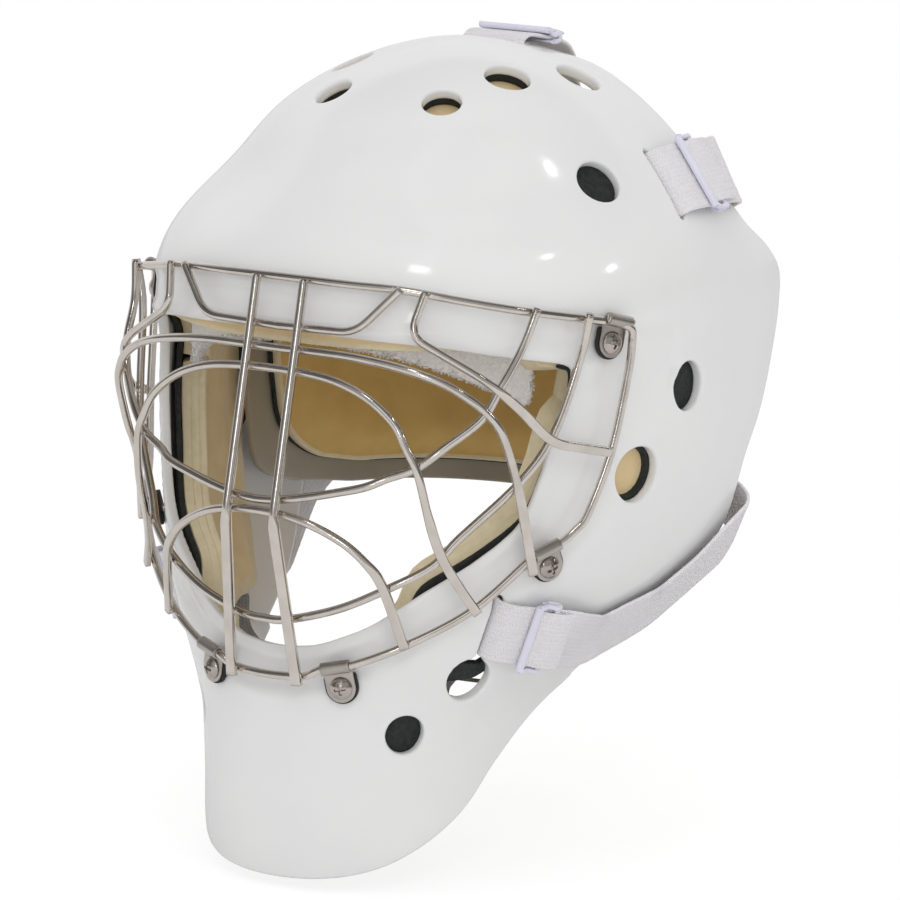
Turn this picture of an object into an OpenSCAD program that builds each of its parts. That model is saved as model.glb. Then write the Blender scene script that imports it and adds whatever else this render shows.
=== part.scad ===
// Hockey goalie mask: moulded shell, welded wire face cage on clips, foam lining,
// chin sling and a back plate on five elastic straps with sliders.
// Origin at the centre of the wearer's head, +X to the wearer's left, +Y to the back.

/* [Shell] */
// Height of the crown above the centre of the head
crown_h = 100; // [90:1:115]
// Depth of the chin's edge below the centre of the head
chin_depth = 229; // [215:1:236]
// Reach of the brow in front of the centre of the head
brow_reach = 98; // [90:1:110]
// Width across the ears
ear_w = 234; // [220:1:250]
// Width across the chin
chin_w = 130; // [116:1:144]
// Wall of the shell
shell_wall = 3.5; // [2.5:0.1:5]
// Depth of the soft valley that runs round the temples above the brow
valley_depth = 8; // [0:0.5:12]

/* [Vents and slots] */
// Radius of the front pair of crown vents
vent_front_r = 8; // [5:0.5:10]
// Radius of the other crown and temple vents
vent_top_r = 9.5; // [6:0.5:11]
// Radius of the ear vents
vent_ear_r = 10; // [6:0.5:12]
// Radius of the big cheek vents
vent_cheek_r = 11.5; // [8:0.5:13]
// Radius of the chin vents, which also take the laces of a throat guard
vent_chin_r = 8; // [5:0.5:9]
// Height of the slot that a strap passes through
slot_h = 4; // [3:0.1:6]

/* [Cage] */
// Diameter of the cage wires
wire_d = 3.4; // [3:0.1:3.8]
// Diameter of the two centre bars
centre_bar_d = 3.8; // [3.4:0.1:4.4]
// Distance between the centre bars
centre_bar_gap = 22.6; // [18:0.2:28]
// How far crossing wires are welded into each other
weld = 0.3; // [0.1:0.05:0.5]
// Play between the pieces of a clip
clip_gap = 0.1; // [0.05:0.05:0.3]
// How far the bend of the centre bars stands in front of the shell
nose_lift = 20.5; // [18:0.5:26]

/* [Cage clips] */
// Width of a clip
clip_w = 12; // [10:0.5:14]
// Thickness of a clip's sheet
clip_t = 0.9; // [0.8:0.1:1.2]
// Distance from the wire to the clip's screw
clip_reach = 9; // [8:0.5:11]
// Thickness of the rubber pad under a clip
clip_pad_t = 2; // [1.5:0.1:3]
// Diameter of a clip screw's head
screw_head_d = 9.2; // [8:0.2:10]
// Diameter of a clip screw's shank
screw_d = 4; // [3:0.1:5]

/* [Padding] */
// Clearance between the shell and the padding
pad_gap = 0.8; // [0.5:0.1:1.2]
// Thickness of the black foam against the shell
liner_t = 5; // [3:0.5:8]
// Thickness of the tan pads
pad_t = 11; // [6:0.5:14]
// Thickness of the terry sweatband
sweatband_t = 4; // [2:0.5:6]

/* [Back plate] */
// Half width of the back plate over its outside
plate_half_w = 97; // [90:1:99]
// Reach of the back plate behind the centre of the head
plate_reach = 120; // [110:1:130]
// Wall of the back plate
plate_wall = 3; // [2:0.1:4]
// Thickness of the black foam in the back plate
plate_foam_t = 3; // [2:0.5:5]
// Thickness of the tan lining of the back plate
plate_lining_t = 7; // [4:0.5:10]
// Height of the back plate's hinge line, where the crown strap bends
hinge_z = 88; // [80:1:95]
// Distance of the hinge line behind the centre of the head
hinge_y = 90; // [80:1:96]

/* [Straps] */
// Width of the crown and temple straps
strap_w = 30; // [24:1:34]
// Width of the lower straps
lower_strap_w = 26; // [22:1:30]
// Thickness of a strap
strap_t = 1.6; // [1.2:0.1:2.2]
// Clearance of a slider round its strap
slider_gap = 0.4; // [0.3:0.1:0.8]
// Length of a slider along its strap
slider_l = 11; // [8:0.5:14]
// Thickness of a slider's bars
slider_bar = 2; // [1.5:0.1:3]

/* [Chin sling] */
// Half width of the chin cup
cup_half_w = 38; // [32:1:44]
// Width of the sling's webbing
web_w = 18; // [14:1:22]

/* [Hidden] */

white = "#f1f1f1";
steel = "#a79f98";
rubber = "#202020";
tan_foam = "#c9ab72";
terry = "#eeeae6";
elastic = "#e9e2e8";
nylon = "#dcdcee";

$fn = 32;
eps = 0.01;

// Curves through a table of [position, value] rows, with slopes from the neighbours
function clamp01(t) = min(max(t, 0), 1);
function row_below(t, z, i = 0) = i >= len(t) - 2 || z < t[i + 1][0] ? i : row_below(t, z, i + 1);
function slope(t, i) =
    let (a = t[max(i - 1, 0)], b = t[min(i + 1, len(t) - 1)]) (b[1] - a[1]) / (b[0] - a[0]);
function curve(t, z0) =
    let (z = min(max(z0, t[0][0]), t[len(t) - 1][0]), i = row_below(t, z),
         h = t[i + 1][0] - t[i][0], u = (z - t[i][0]) / h)
    (2 * u ^ 3 - 3 * u ^ 2 + 1) * t[i][1] + (u ^ 3 - 2 * u ^ 2 + u) * h * slope(t, i)
    + (3 * u ^ 2 - 2 * u ^ 3) * t[i + 1][1] + (u ^ 3 - u ^ 2) * h * slope(t, i + 1);
function bell(t) = exp(-t * t);
function signed_pow(c, p) = sign(c) * abs(c) ^ p;
function unit(v) = v / norm(v);
function flat(v) = [for (a = v) for (b = a) b];

// The shell's sections: each table gives a value at a height.
// How far the chin and cheeks stand in front of the brow line
front_swell = [[-240, 6], [-215, 10], [-180, 9], [-150, 7], [-110, 5], [-60, 3], [0, 0]];
// How much narrower than the ears (or, at the chin, wider than it) the half width is
half_width = [[-240, chin_w / 2 - 10], [-215, chin_w / 2 - 3], [-190, chin_w / 2],
              [-160, chin_w / 2 + 7], [-130, ear_w / 2 - 27], [-100, ear_w / 2 - 9.5],
              [-60, ear_w / 2 - 1], [-20, ear_w / 2], [0, ear_w / 2 - 1]];
widest_y = [[-240, -40], [-190, -25], [-150, 0], [-110, 25], [-50, 30], [0, 30]];
rear_y = [[-240, 40], [-190, 60], [-150, 120], [-110, 180], [-50, 205], [0, 205]];
squareness = [[-240, 2.2], [-190, 2.2], [-140, 2.4], [-110, 2.4], [-60, 2.3], [0, 2.4],
              [30, 2.3], [60, 2.1], [100, 2]];
dome_front = 1.7;
dome_side = 1.8;
dome_rear = 1.55;
valley_angle = 42;
valley_spread = 34;
valley_z = 50;
valley_h = 17;

// Height 0 to 1 of z on the dome, and the share of a radius that is left there
function dome(z, d, p) = let (k = clamp01(z / (crown_h - d))) (1 - k ^ p) ^ (1 / p);
function valley(th, z) =
    valley_depth * bell((abs(th) - valley_angle) / valley_spread) * bell((z - valley_z) / valley_h);

// Point of the shell at angle th (0 at the nose, 90 at the wearer's left ear), d inside it
function shell_point(th, z, d = 0) =
    let (zl = min(z, 0), w = curve(widest_y, zl),
         f = w + (d - brow_reach - curve(front_swell, zl) - w) * dome(z, d, dome_front),
         a = (curve(half_width, zl) - d) * dome(z, d, dome_side),
         r = w + (curve(rear_y, zl) - d - w) * dome(z, d, dome_rear),
         p = 2 / curve(squareness, z),
         x = a * signed_pow(sin(th), p),
         y = w - (cos(th) > 0 ? w - f : r - w) * signed_pow(cos(th), p),
         out = unit([x, y - 20, z - min(z, 0.35 * z) + eps]))
    [x, y, z] - out * valley(th, z);

// Outward normal of the shell, from two short steps along it
function shell_normal(th, z) =
    let (s = th < 0 ? -1 : 1, t = max(abs(th), 2),
         a = shell_point(t + 1, z) - shell_point(t - 1, z),
         b = shell_point(t, z + 1) - shell_point(t, z - 1), n = unit(cross(a, b)))
    [s * n[0], n[1], n[2]];
function lifted(th, z, lift) = shell_point(th, z) + shell_normal(th, z) * lift;
function mirrored(p) = [-p[0], p[1], p[2]];

// Columns and rows of the shell's facets
half_turn = [0, 8, 16, 24, 32, 40, 48, 56, 64, 72, 80, 86, 90, 94, 100, 108, 118, 140];
columns = concat([for (i = [len(half_turn) - 1:-1:1]) -half_turn[i]], half_turn, [180]);
low_rows = [-240, -226, -210, -190, -170, -152, -136, -120, -104, -88, -70, -52, -34, -17, 0];
dome_rows = [7, 14, 22, 30, 38, 46, 54, 62, 70, 78, 84];

// A closed solid d inside the shell's surface
module moulding(d) {
    top = crown_h - d;
    rows = concat(low_rows, [for (a = dome_rows) top * sin(a)]);
    n = len(columns);
    m = len(rows);
    points = concat([for (z = rows) for (th = columns) shell_point(th, z, d)],
                    [[0, curve(widest_y, 0), top], [0, -60, rows[0]]]);
    sides = [for (j = [0:m - 2], i = [0:n - 1])
        let (a = j * n + i, b = j * n + (i + 1) % n, c = a + n, e = b + n) each [[a, c, b], [b, c, e]]];
    cap = [for (i = [0:n - 1]) [(m - 1) * n + i, m * n, (m - 1) * n + (i + 1) % n]];
    floor_ = [for (i = [0:n - 1]) [i, (i + 1) % n, m * n + 1]];
    polyhedron(points, concat(sides, cap, floor_), convexity = 6);
}

// Rear and lower edge of the shell, as the y of the edge at each height
rim_y = [[-226, -122], [-219, -97], [-211, -80], [-196, -57], [-178, -40], [-158, -15],
         [-137, 25], [-111, 58], [-98, 67], [-71, 73], [-52, 84], [-29, 95], [-7, 104],
         [4, 105], [14, 97], [28, 80], [54, 68], [70, 68], [80, 72], [92, 86], [102, 92]];
rim_heights = concat([for (z = [-226:5:-206]) z], [for (z = [-200:11:-2]) z], [4, 9],
                     [for (z = [14:8:102]) z]);

// Everything behind the rear edge
module behind_rim() {
    far = 400;
    lift = chin_depth - 226;
    rotate([90, 0, 90])
        linear_extrude(far, center = true)
            polygon(concat([for (z = rim_heights) [curve(rim_y, z), z < -150 ? z - lift : z]],
                           [[curve(rim_y, 102), far], [far, far], [far, -far],
                            [-far, -far], [-far, -chin_depth]]));
}

// Half of the eye port's edge: [angle round the shell, height]
port_edge = [[0, -4], [11, -4.5], [28, -6.5], [36, -8.5], [42.5, -10.5], [49, -12.5],
             [54.5, -14.5], [56.8, -17], [57.5, -21], [57, -28], [55.5, -37], [54, -45],
             [52.8, -56], [51.5, -65], [50.5, -72], [49, -78.5], [46.5, -83.5], [43, -89],
             [38, -96], [30, -106], [21, -118], [14, -124], [7, -128.5], [0, -130]];

module eye_port() {
    half = [for (p = port_edge) let (s = shell_point(p[0], p[1])) [s[0], s[2]]];
    front = 200;
    rotate([90, 0, 0])
        linear_extrude(front)
            polygon(concat(half, [for (i = [len(half) - 2:-1:1]) [-half[i][0], half[i][1]]]));
}

// Vents on the wearer's left: [angle, height, radius]; each has its mirror
vents = [[26, 82, vent_front_r], [58, 89.5, vent_top_r], [99, 86.5, vent_top_r],
         [72.5, 53, vent_top_r], [87, -31.5, vent_ear_r], [75, -63.5, vent_cheek_r],
         [53.5, -143, vent_top_r], [42, -164.5, vent_chin_r]];
vent_depth = 14;

// Turns +Z to direction n
module face(n) {
    rotate([0, acos(n[2]), atan2(n[1], n[0])]) children();
}

// Places children at p with their X along x, Y along y and Z along z
module at_frame(p, x, y, z) {
    multmatrix([[x[0], y[0], z[0], p[0]], [x[1], y[1], z[1], p[1]],
                [x[2], y[2], z[2], p[2]], [0, 0, 0, 1]])
        children();
}

module both_sides() {
    children();
    mirror([1, 0, 0]) children();
}

module vent_holes() {
    for (v = vents)
        translate(shell_point(v[0], v[1]))
            face(shell_normal(v[0], v[1]))
                cylinder(vent_depth * 2, r = v[2], center = true);
}

// Clip sites on the wearer's left: [angle, height] of the screw, direction to the wire
// as [sideways, up] across the shell there
clip_sites = [[66.5, -7, [0.28, 1]], [56.8, -95.2, [-0.38, 0.92]], [18, -143.8, [-0.2, 1]]];
wire_r = wire_d / 2;
clip_r = wire_r + clip_t + clip_gap;
wire_lift = clip_pad_t + clip_r + clip_gap;
function site_normal(s) = shell_normal(s[0], s[1]);
function site_up(s) =
    let (n = site_normal(s), side = unit(cross([0, 0, 1], n)), up = cross(n, side))
    unit(s[2][0] * side + s[2][1] * up);
function site_along(s) = cross(site_up(s), site_normal(s));
// Straight run of the wire through a clip
function site_run(s, k) =
    [for (e = [1, -1]) site_wire(s) - site_along(s) * e * k * (clip_w / 2 + 0.5)];
function site_wire(s) = shell_point(s[0], s[1]) + site_normal(s) * wire_lift + site_up(s) * clip_reach;

module at_site(s) {
    at_frame(shell_point(s[0], s[1]), site_along(s), site_up(s), site_normal(s)) children();
}

// Strap paths on the wearer's left: rows of [point, outward normal], from the slot back
slot_temple = [91, 48];
slot_lower = [50.5, -121];
slot_crown_y = 54;
strap_lift = 3.2;

module slot_at(p, x, y, z, w) {
    at_frame(p, x, y, z) cube([w + 3, slot_h, vent_depth * 2], center = true);
}

module strap_slots() {
    both_sides() {
        slot_at(temple_path[0][0], temple_across, cross(temple_path[0][1], temple_across),
                temple_path[0][1], strap_w);
        slot_at(lower_path[0][0], lower_across, cross(lower_path[0][1], lower_across),
                lower_path[0][1], lower_strap_w);
    }
    slot_at([0, slot_crown_y, crown_start_z], [1, 0, 0], crown_along, crown_n, strap_w);
}

module shell() {
    color(white)
        difference() {
            moulding(0);
            moulding(shell_wall);
            behind_rim();
            eye_port();
            both_sides() {
                vent_holes();
                for (s = clip_sites)
                    at_site(s) cylinder(vent_depth, d = screw_d + 0.4, center = true);
            }
            strap_slots();
        }
}

// Wires: rows of [angle, height, distance of the wire's axis in front of the shell]
function out_of(th, z) =
    let (p = shell_point(th, z), w = curve(widest_y, min(z, 0))) unit([p[0], p[1] - w, 0]);
function wire_point(r) = shell_point(r[0], r[1]) + out_of(r[0], r[1]) * r[2];

// Smooth path through points p, n steps between two of them
function spline_at(a, b, c, d, t) =
    0.5 * (2 * b + (c - a) * t + (2 * a - 5 * b + 4 * c - d) * t ^ 2 + (3 * b - a - 3 * c + d) * t ^ 3);
function smooth_path(p, n) =
    concat([for (i = [0:len(p) - 2], k = [0:n - 1])
               let (a = i == 0 ? 2 * p[0] - p[1] : p[i - 1],
                    d = i == len(p) - 2 ? 2 * p[i + 1] - p[i] : p[i + 2])
               spline_at(a, p[i], p[i + 1], d, k / n)],
           [p[len(p) - 1]]);
function smooth_loop(p, n) =
    let (m = len(p))
    [for (i = [0:m - 1], k = [0:n - 1])
        spline_at(p[(i + m - 1) % m], p[i], p[(i + 1) % m], p[(i + 2) % m], k / n)];

// Frames carried along a path, each turned as little as possible from the last
function turned(u, t) = unit(u - t * (u * t));
function frames(t, u, i = 0) =
    i >= len(t) ? [] : let (v = turned(u, t[i])) concat([v], frames(t, v, i + 1));

wire_sides = 8;
module wire(path, r, closed = false) {
    n = len(path);
    tangent = [for (i = [0:n - 1])
        unit(closed ? path[(i + 1) % n] - path[(i + n - 1) % n]
                    : path[min(i + 1, n - 1)] - path[max(i - 1, 0)])];
    u = frames(tangent, closed ? [0, 0, 1] : [0.1, 1, 0.2]);
    k = wire_sides;
    points = [for (i = [0:n - 1], j = [0:k - 1])
        let (a = (j + 0.5) * 360 / k, v = cross(tangent[i], u[i]))
        path[i] + r * (cos(a) * u[i] + sin(a) * v)];
    last = closed ? n - 1 : n - 2;
    sides = [for (i = [0:last], j = [0:k - 1])
        let (i2 = (i + 1) % n, a = i * k + j, b = i * k + (j + 1) % k,
             c = i2 * k + j, e = i2 * k + (j + 1) % k) each [[a, c, b], [b, c, e]]];
    ends = closed ? [] : concat([for (j = [1:k - 2]) [0, j, j + 1]],
                                [for (j = [1:k - 2]) (n - 1) * k * [1, 1, 1] + [0, j + 1, j]]);
    polyhedron(points, concat(sides, ends), convexity = 6);
}

// The rim: along the brow, down the side to the chin, through the three clips
top_wire = [[0, 18, 3.7], [11.5, 17.5, 3.8], [22.5, 16.5, 3.9], [36, 12.5, 4.2], [49.5, 8, 4.4]];
rim_corner = [[70.2, -1, 6], [70.6, -6, 6]];
rim_side = [[69.5, -20, 5.4], [66, -50, 5.2], [62.5, -74.5, 5.2], [60.5, -80.5, 5.2]];
rim_jaw = [[43, -110.5, 5.2], [31, -125, 5]];
rim_chin = [[8, -140, 4.6], [0, -141, 4.6]];
function rim_half() =
    concat([for (r = top_wire) wire_point(r)], site_run(clip_sites[0], -1),
           [for (r = rim_corner) wire_point(r)], [for (r = rim_side) wire_point(r)],
           site_run(clip_sites[1], -1), [for (r = rim_jaw) wire_point(r)],
           site_run(clip_sites[2], -1), [for (r = rim_chin) wire_point(r)]);

module cage_rim() {
    half = rim_half();
    points = concat(half, [for (i = [len(half) - 2:-1:1]) mirrored(half[i])]);
    color(steel) wire(smooth_loop(points, 3), wire_r, closed = true);
}

layer = wire_r + centre_bar_d / 2 - weld;
bar_x = centre_bar_gap / 2;
bend_l = 5;
bar_top = wire_point([5, 18.5, top_wire[0][2] + layer]);
bar_bend = wire_point([4, -75, nose_lift]);
bar_foot = wire_point([9, -143, rim_chin[0][2] + layer]);

module cage_centre_bars() {
    top = [bar_x, bar_top[1], bar_top[2]];
    bend = [bar_x, bar_bend[1], bar_bend[2]];
    foot = [bar_x + 4.5, bar_foot[1], bar_foot[2]];
    a = bend + unit(top - bend) * bend_l;
    b = bend + unit(foot - bend) * bend_l;
    color(steel)
        both_sides() wire([top, a, (a + b + 2 * bend) / 4, b, foot], centre_bar_d / 2);
}

// Straight lengths with rounded bends: each row's last value is the bend's length
function bent_path(rows, n) =
    let (p = [for (r = rows) wire_point(r)])
    [for (i = [0:len(p) - 1], k = [0:rows[i][3] > 0 ? n : 0])
        let (q = rows[i][3], t = k / n)
        q > 0 ? let (a = p[i] + unit(p[i - 1] - p[i]) * q, b = p[i] + unit(p[i + 1] - p[i]) * q)
                    (1 - t) ^ 2 * a + 2 * t * (1 - t) * p[i] + t ^ 2 * b
              : p[i]];

u_bar = [[22, 17.5, 7.2, 0], [13.5, -0.2, 6.1, 7], [0, -1, 3.6, 0]];
module cage_u_bar() {
    half = bent_path(u_bar, 3);
    points = concat(half, [for (i = [len(half) - 2:-1:0]) mirrored(half[i])]);
    color(steel) wire(points, wire_r);
}

brow_bar = [[27, 17, 7.4, 0], [24, 0, 6.9, 7], [42.5, -21, 14.7, 16], [52.5, -43.5, 8.1, 8],
            [65.5, -50, 6.9, 0]];
module cage_brow_bars() {
    color(steel) both_sides() wire(bent_path(brow_bar, 4), wire_r);
}

sag_upper = [[49.5, 10.5, 8.2], [46.5, -4.5, 7.1], [42, -19, 11.1], [38.5, -31.5, 12.8],
             [32, -42.5, 14.6], [27, -51, 14.7], [22, -55.5, 14.2], [15.5, -61, 15.2], [0, -68.5, 15]];
sag_lower = [[60.5, 7, 8.8], [59, -11.5, 4.5], [53.5, -40.5, 4.6], [47, -59.5, 5], [36, -81.5, 5],
             [31.5, -92, 6.6], [23.5, -101, 7.4], [14, -110.5, 7.3], [4, -117, 7.1], [0, -118, 7.1]];
module sagging(rows) {
    half = [for (r = rows) wire_point(r)];
    n = len(half);
    points = concat(half, [for (i = [n - 2:-1:0]) mirrored(half[i])]);
    color(steel) wire(smooth_path(points, 2), wire_r);
}
module cage_sag_upper() { sagging(sag_upper); }
module cage_sag_lower() { sagging(sag_lower); }

arc_outer = [[53, -97, 8], [48.5, -73, 6.9], [45, -52.5, 11.4], [42, -36.5, 14.9],
             [39, -28.5, 15.4], [36, -23.5, 15.2], [31, -17.5, 13.8], [23.5, -12.5, 11.6],
             [12.5, -9.5, 7.6], [0, -9.5, 5.2]];
arc_middle = [[44, -111.5, 8.8], [38, -100.5, 7.4], [33, -87, 10], [30, -71, 14.8],
              [27.5, -53, 17.4], [25, -42.5, 17], [22.5, -33.5, 15.4], [17.5, -25, 12.8],
              [12, -20, 10.4], [6.5, -18, 8], [0, -17.5, 6.5]];
arc_inner = [[31, -125.5, 8.2], [22.5, -100, 11.1], [19, -90.5, 12.9], [14, -82, 13.6],
             [7, -75, 15.2], [0, -72.5, 16.5]];
module cage_arc_outer() { sagging(arc_outer); }
module cage_arc_middle() { sagging(arc_middle); }
module cage_arc_inner() { sagging(arc_inner); }

// One folded clip: a tube round the wire and a tab with a round end
module clip() {
    hook = clip_reach;
    tab_z = clip_pad_t + clip_gap;
    difference() {
        union() {
            translate([-clip_w / 2, hook, wire_lift]) rotate([0, 90, 0]) cylinder(clip_w, r = clip_r);
            translate([0, 0, tab_z]) cylinder(clip_t, d = clip_w);
            translate([-clip_w / 2, 0, tab_z]) cube([clip_w, hook, clip_t]);
        }
        translate([-clip_w, hook, wire_lift]) rotate([0, 90, 0])
            cylinder(2 * clip_w, r = wire_r + clip_gap);
        cylinder(vent_depth, d = screw_d + 0.3);
    }
}

module cage_clips() {
    color(steel) both_sides() for (s = clip_sites) at_site(s) clip();
}

// Rubber pad: the tab's outline, a little larger
module clip_pads() {
    wide = clip_w + 1.6;
    color(rubber)
        both_sides()
            for (s = clip_sites)
                at_site(s)
                    translate([0, 0, clip_gap])
                        difference() {
                            union() {
                                cylinder(clip_pad_t - clip_gap, d = wide);
                                translate([-wide / 2, 0, 0])
                                    cube([wide, clip_reach - 3.5, clip_pad_t - clip_gap]);
                            }
                            translate([0, 0, -1]) cylinder(vent_depth, d = screw_d + 0.3);
                        }
}

// Pan-head screw with a cross recess
module clip_screws() {
    head_h = 2.6;
    seat = clip_pad_t + clip_t + 2 * clip_gap;
    reach = shell_wall + liner_t - 1;
    color(steel)
        both_sides()
            for (s = clip_sites)
                at_site(s)
                    difference() {
                        union() {
                            translate([0, 0, -reach]) cylinder(reach + seat, d = screw_d);
                            translate([0, 0, seat])
                                intersection() {
                                    cylinder(head_h, d = screw_head_d);
                                    translate([0, 0, head_h - 6]) sphere(6);
                                }
                        }
                        for (a = [0, 90])
                            translate([0, 0, seat + head_h]) rotate(a) cube([4.4, 0.9, 2.4], center = true);
                    }
}

nut_flange_d = 12;
// Flanged nut inside the shell for each clip screw
module clip_nuts() {
    color(steel)
        both_sides()
            for (s = clip_sites)
                at_site(s)
                    translate([0, 0, -shell_wall - 1])
                        difference() {
                            union() {
                                translate([0, 0, -1]) cylinder(1, d = nut_flange_d);
                                translate([0, 0, -3.6]) cylinder(2.8, d = screw_d + 2.4);
                            }
                            translate([0, 0, -6]) cylinder(8, d = screw_d + 0.1);
                        }
}

// A pad that follows the shell from inset d0 inwards: rows of [angle from, angle to] by height
function pad_fall(u) = (1 - abs(2 * u - 1) ^ 5) ^ 0.5;
module shell_pad(heights, edge_a, edge_b, d0, t, n) {
    m = len(heights) - 1;
    function grid(k) = [for (j = [0:m], i = [0:n])
        let (z = heights[j], u = i / n, v = j / m,
             th = curve(edge_a, z) * (1 - u) + curve(edge_b, z) * u,
             fall = 0.45 + 0.55 * pad_fall(u) * pad_fall(v))
        shell_point(th, z, d0 + k * t * fall)];
    closed_patch(grid(0), grid(1), n + 1, m + 1);
}

// Solid between two grids of points with w columns and h rows
module closed_patch(a, b, w, h) {
    s = w * h;
    skin = [for (j = [0:h - 2], i = [0:w - 2])
        let (p = j * w + i) each [[p, p + w, p + 1], [p + 1, p + w, p + w + 1]]];
    inner = [for (f = skin) [f[0] + s, f[2] + s, f[1] + s]];
    edge = concat([for (i = [0:w - 2]) i], [for (j = [0:h - 2]) j * w + w - 1],
                  [for (i = [w - 1:-1:1]) (h - 1) * w + i], [for (j = [h - 1:-1:1]) j * w]);
    n = len(edge);
    sides = [for (i = [0:n - 1])
        let (p = edge[i], q = edge[(i + 1) % n]) each [[p, q, p + s], [q, q + s, p + s]]];
    polyhedron(concat(a, b), concat(skin, inner, sides), convexity = 6);
}

function steps(a, b, n) = [for (i = [0:n]) a + (b - a) * i / n];
liner_in = shell_wall + pad_gap;
pad_in = liner_in + liner_t + 0.4;
liner_front = [[-145, 34], [-134, 27], [-118, 27], [-106, 34], [-96, 41], [-84, 50], [-72, 54.5], [-45, 58],
               [-20, 60], [16, 62]];
liner_back = [[-145, 56], [-138, 61], [-132, 67], [-122, 77], [-110, 82], [-60, 85], [16, 85]];

// Room in the padding for the nuts and for the bars that stop the straps
relief = 1;
module reliefs() {
    for (s = clip_sites) at_site(s) cylinder(30, d = nut_flange_d + 2 * relief, center = true);
    for (q = [[temple_path[0], temple_across, strap_w], [lower_path[0], lower_across, lower_strap_w]])
        at_frame(q[0][0], q[1], cross(q[0][1], q[1]), q[0][1])
            cube([q[2] + bar_over + 4 * relief, slot_h + 8 * relief, 40], center = true);
}

module liner() {
    difference() {
        liner_pad();
        reliefs();
    }
}
module liner_pad() {
    shell_pad([-145, -139, -132, -118, -106, -96, -84, -72, -58, -45, -20, -2, 16], liner_front, liner_back,
              liner_in, liner_t, 6);
}
module liner_left() { color(rubber) liner(); }
module liner_right() { color(rubber) mirror([1, 0, 0]) liner(); }

module forehead_pad() {
    color(tan_foam)
        shell_pad([-9, -2, 8, 20, 32, 44, 54], [[-9, -56], [54, -58]], [[-9, 56], [54, 58]], liner_in + 0.3, pad_t, 22);
}

module sweatband() {
    color(terry)
        shell_pad([-24, -16, -6, 6, 18], [[-24, -54], [18, -54]], [[-24, 54], [18, 54]],
                  liner_in + pad_t + 1, sweatband_t, 16);
}

module crown_pad() {
    color(tan_foam)
        shell_pad([60, 68, 75, 81, 85], [[60, -102], [85, -102]], [[60, 102], [85, 102]], liner_in, pad_t, 16);
}

module temple_pad() {
    shell_pad([-34, -22, -8, 4, 14], [[-34, 61], [-20, 62.5], [14, 65]], [[-34, 84], [14, 84]],
              pad_in, pad_t, 5);
}
module temple_pad_left() { color(tan_foam) temple_pad(); }
module temple_pad_right() { color(tan_foam) mirror([1, 0, 0]) temple_pad(); }

module cheek_pad() {
    shell_pad([-130, -118, -106, -96, -84, -72, -58, -45, -36],
              [for (r = liner_front) [r[0], r[1] + 1.5]], [[-130, 75], [-110, 81], [-36, 84]],
              pad_in, pad_t, 6);
}
module cheek_pad_left() { color(tan_foam) cheek_pad(); }
module cheek_pad_right() { color(tan_foam) mirror([1, 0, 0]) cheek_pad(); }

// Half of the angle that the chin pad covers, between the chin vents
chin_pad_angle = 33;
// Its top stays under the nuts of the lowest clips
chin_pad_top = clip_sites[2][1] - nut_flange_d / 2 - 2 * relief;
module chin_pad() {
    color(rubber)
        shell_pad([for (h = [23, 39, 57, 75]) min(h - chin_depth, chin_pad_top)],
                  [[-240, -chin_pad_angle], [0, -chin_pad_angle]],
                  [[-240, chin_pad_angle], [0, chin_pad_angle]], liner_in, liner_t + 2, 10);
}

// Back plate: a wide bowl behind the head, its wings inside the ears of the shell
plate_y = 30;
function plate_point(th, z, d) =
    let (k = clamp01(z / (crown_h - d)), s = sqrt(1 - k * k),
         low = clamp01(-z / 130), a = (plate_half_w - d - 7 * low ^ 3) * s,
         b = (plate_reach - plate_y - d - 16 * low ^ 3) * s)
    [a * signed_pow(sin(th), 0.8), plate_y - b * signed_pow(cos(th), 0.8), z];
// Edge of the plate and of the padding in it, as an angle at each height
plate_edge = [[-104, 118], [-100, 98], [-95, 89], [-89, 84], [-78, 82], [-30, 82], [0, 93], [30, 114],
              [60, 136], [72, 146]];
plate_pad_edge = [[-95, 124], [-93, 110], [-89, 101], [-82, 94], [-74, 90.5], [-60, 89], [-30, 89],
                  [0, 100], [30, 121], [62, 145]];
plate_rows = [-104, -102, -99, -95, -89, -77, -62, -46, -28, -10, 8, 26, 42, 56, 66, 72];

module plate_patch(d, t, edge, inset, rows, n) {
    function grid(k) = [for (j = [0:len(rows) - 1], i = [0:n])
        let (z = rows[j], e = curve(edge, z) + inset,
             th = e + (360 - 2 * e) * i / n)
        plate_point(th, z, d + k * t)];
    closed_patch(grid(0), grid(1), n + 1, len(rows));
}

function plate_normal(th, z) =
    unit(cross(plate_point(th + 1, z, 0) - plate_point(th - 1, z, 0),
               plate_point(th, z + 1, 0) - plate_point(th, z - 1, 0)));
// Point d outside the plate
function off_plate(th, z, d) = plate_point(th, z, 0) + plate_normal(th, z) * d;
// Screws of the back plate: [angle, height]; the first is at the top, the others have mirrors
plate_screw_at = [[180, 56], [128, 36], [130, -80]];
plate_screw_d = 3;
module at_plate_screws() {
    module one(q) translate(plate_point(q[0], q[1], 0)) face(plate_normal(q[0], q[1])) children();
    one(plate_screw_at[0]) children();
    both_sides() for (i = [1, 2]) one(plate_screw_at[i]) children();
}

module back_plate() {
    color(white)
        difference() {
            plate_patch(0, plate_wall, plate_edge, 0, plate_rows, 20);
            at_plate_screws() cylinder(20, d = plate_screw_d + 0.2, center = true);
        }
}
plate_pad_rows = [-95, -93, -89, -83, -73, -58, -42, -24, -6, 12, 28, 42, 54, 62];
module plate_foam() {
    color(rubber) plate_patch(plate_wall + 1.1, plate_foam_t, plate_pad_edge, 0, plate_pad_rows, 18);
}
plate_lining_rows = [-93.5, -91.5, -87, -81, -71, -58, -42, -24, -6, 12, 28, 42, 52, 58];
module plate_lining() {
    color(tan_foam)
        plate_patch(plate_wall + plate_foam_t + 2, plate_lining_t, plate_pad_edge, 2, plate_lining_rows, 18);
}

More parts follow.
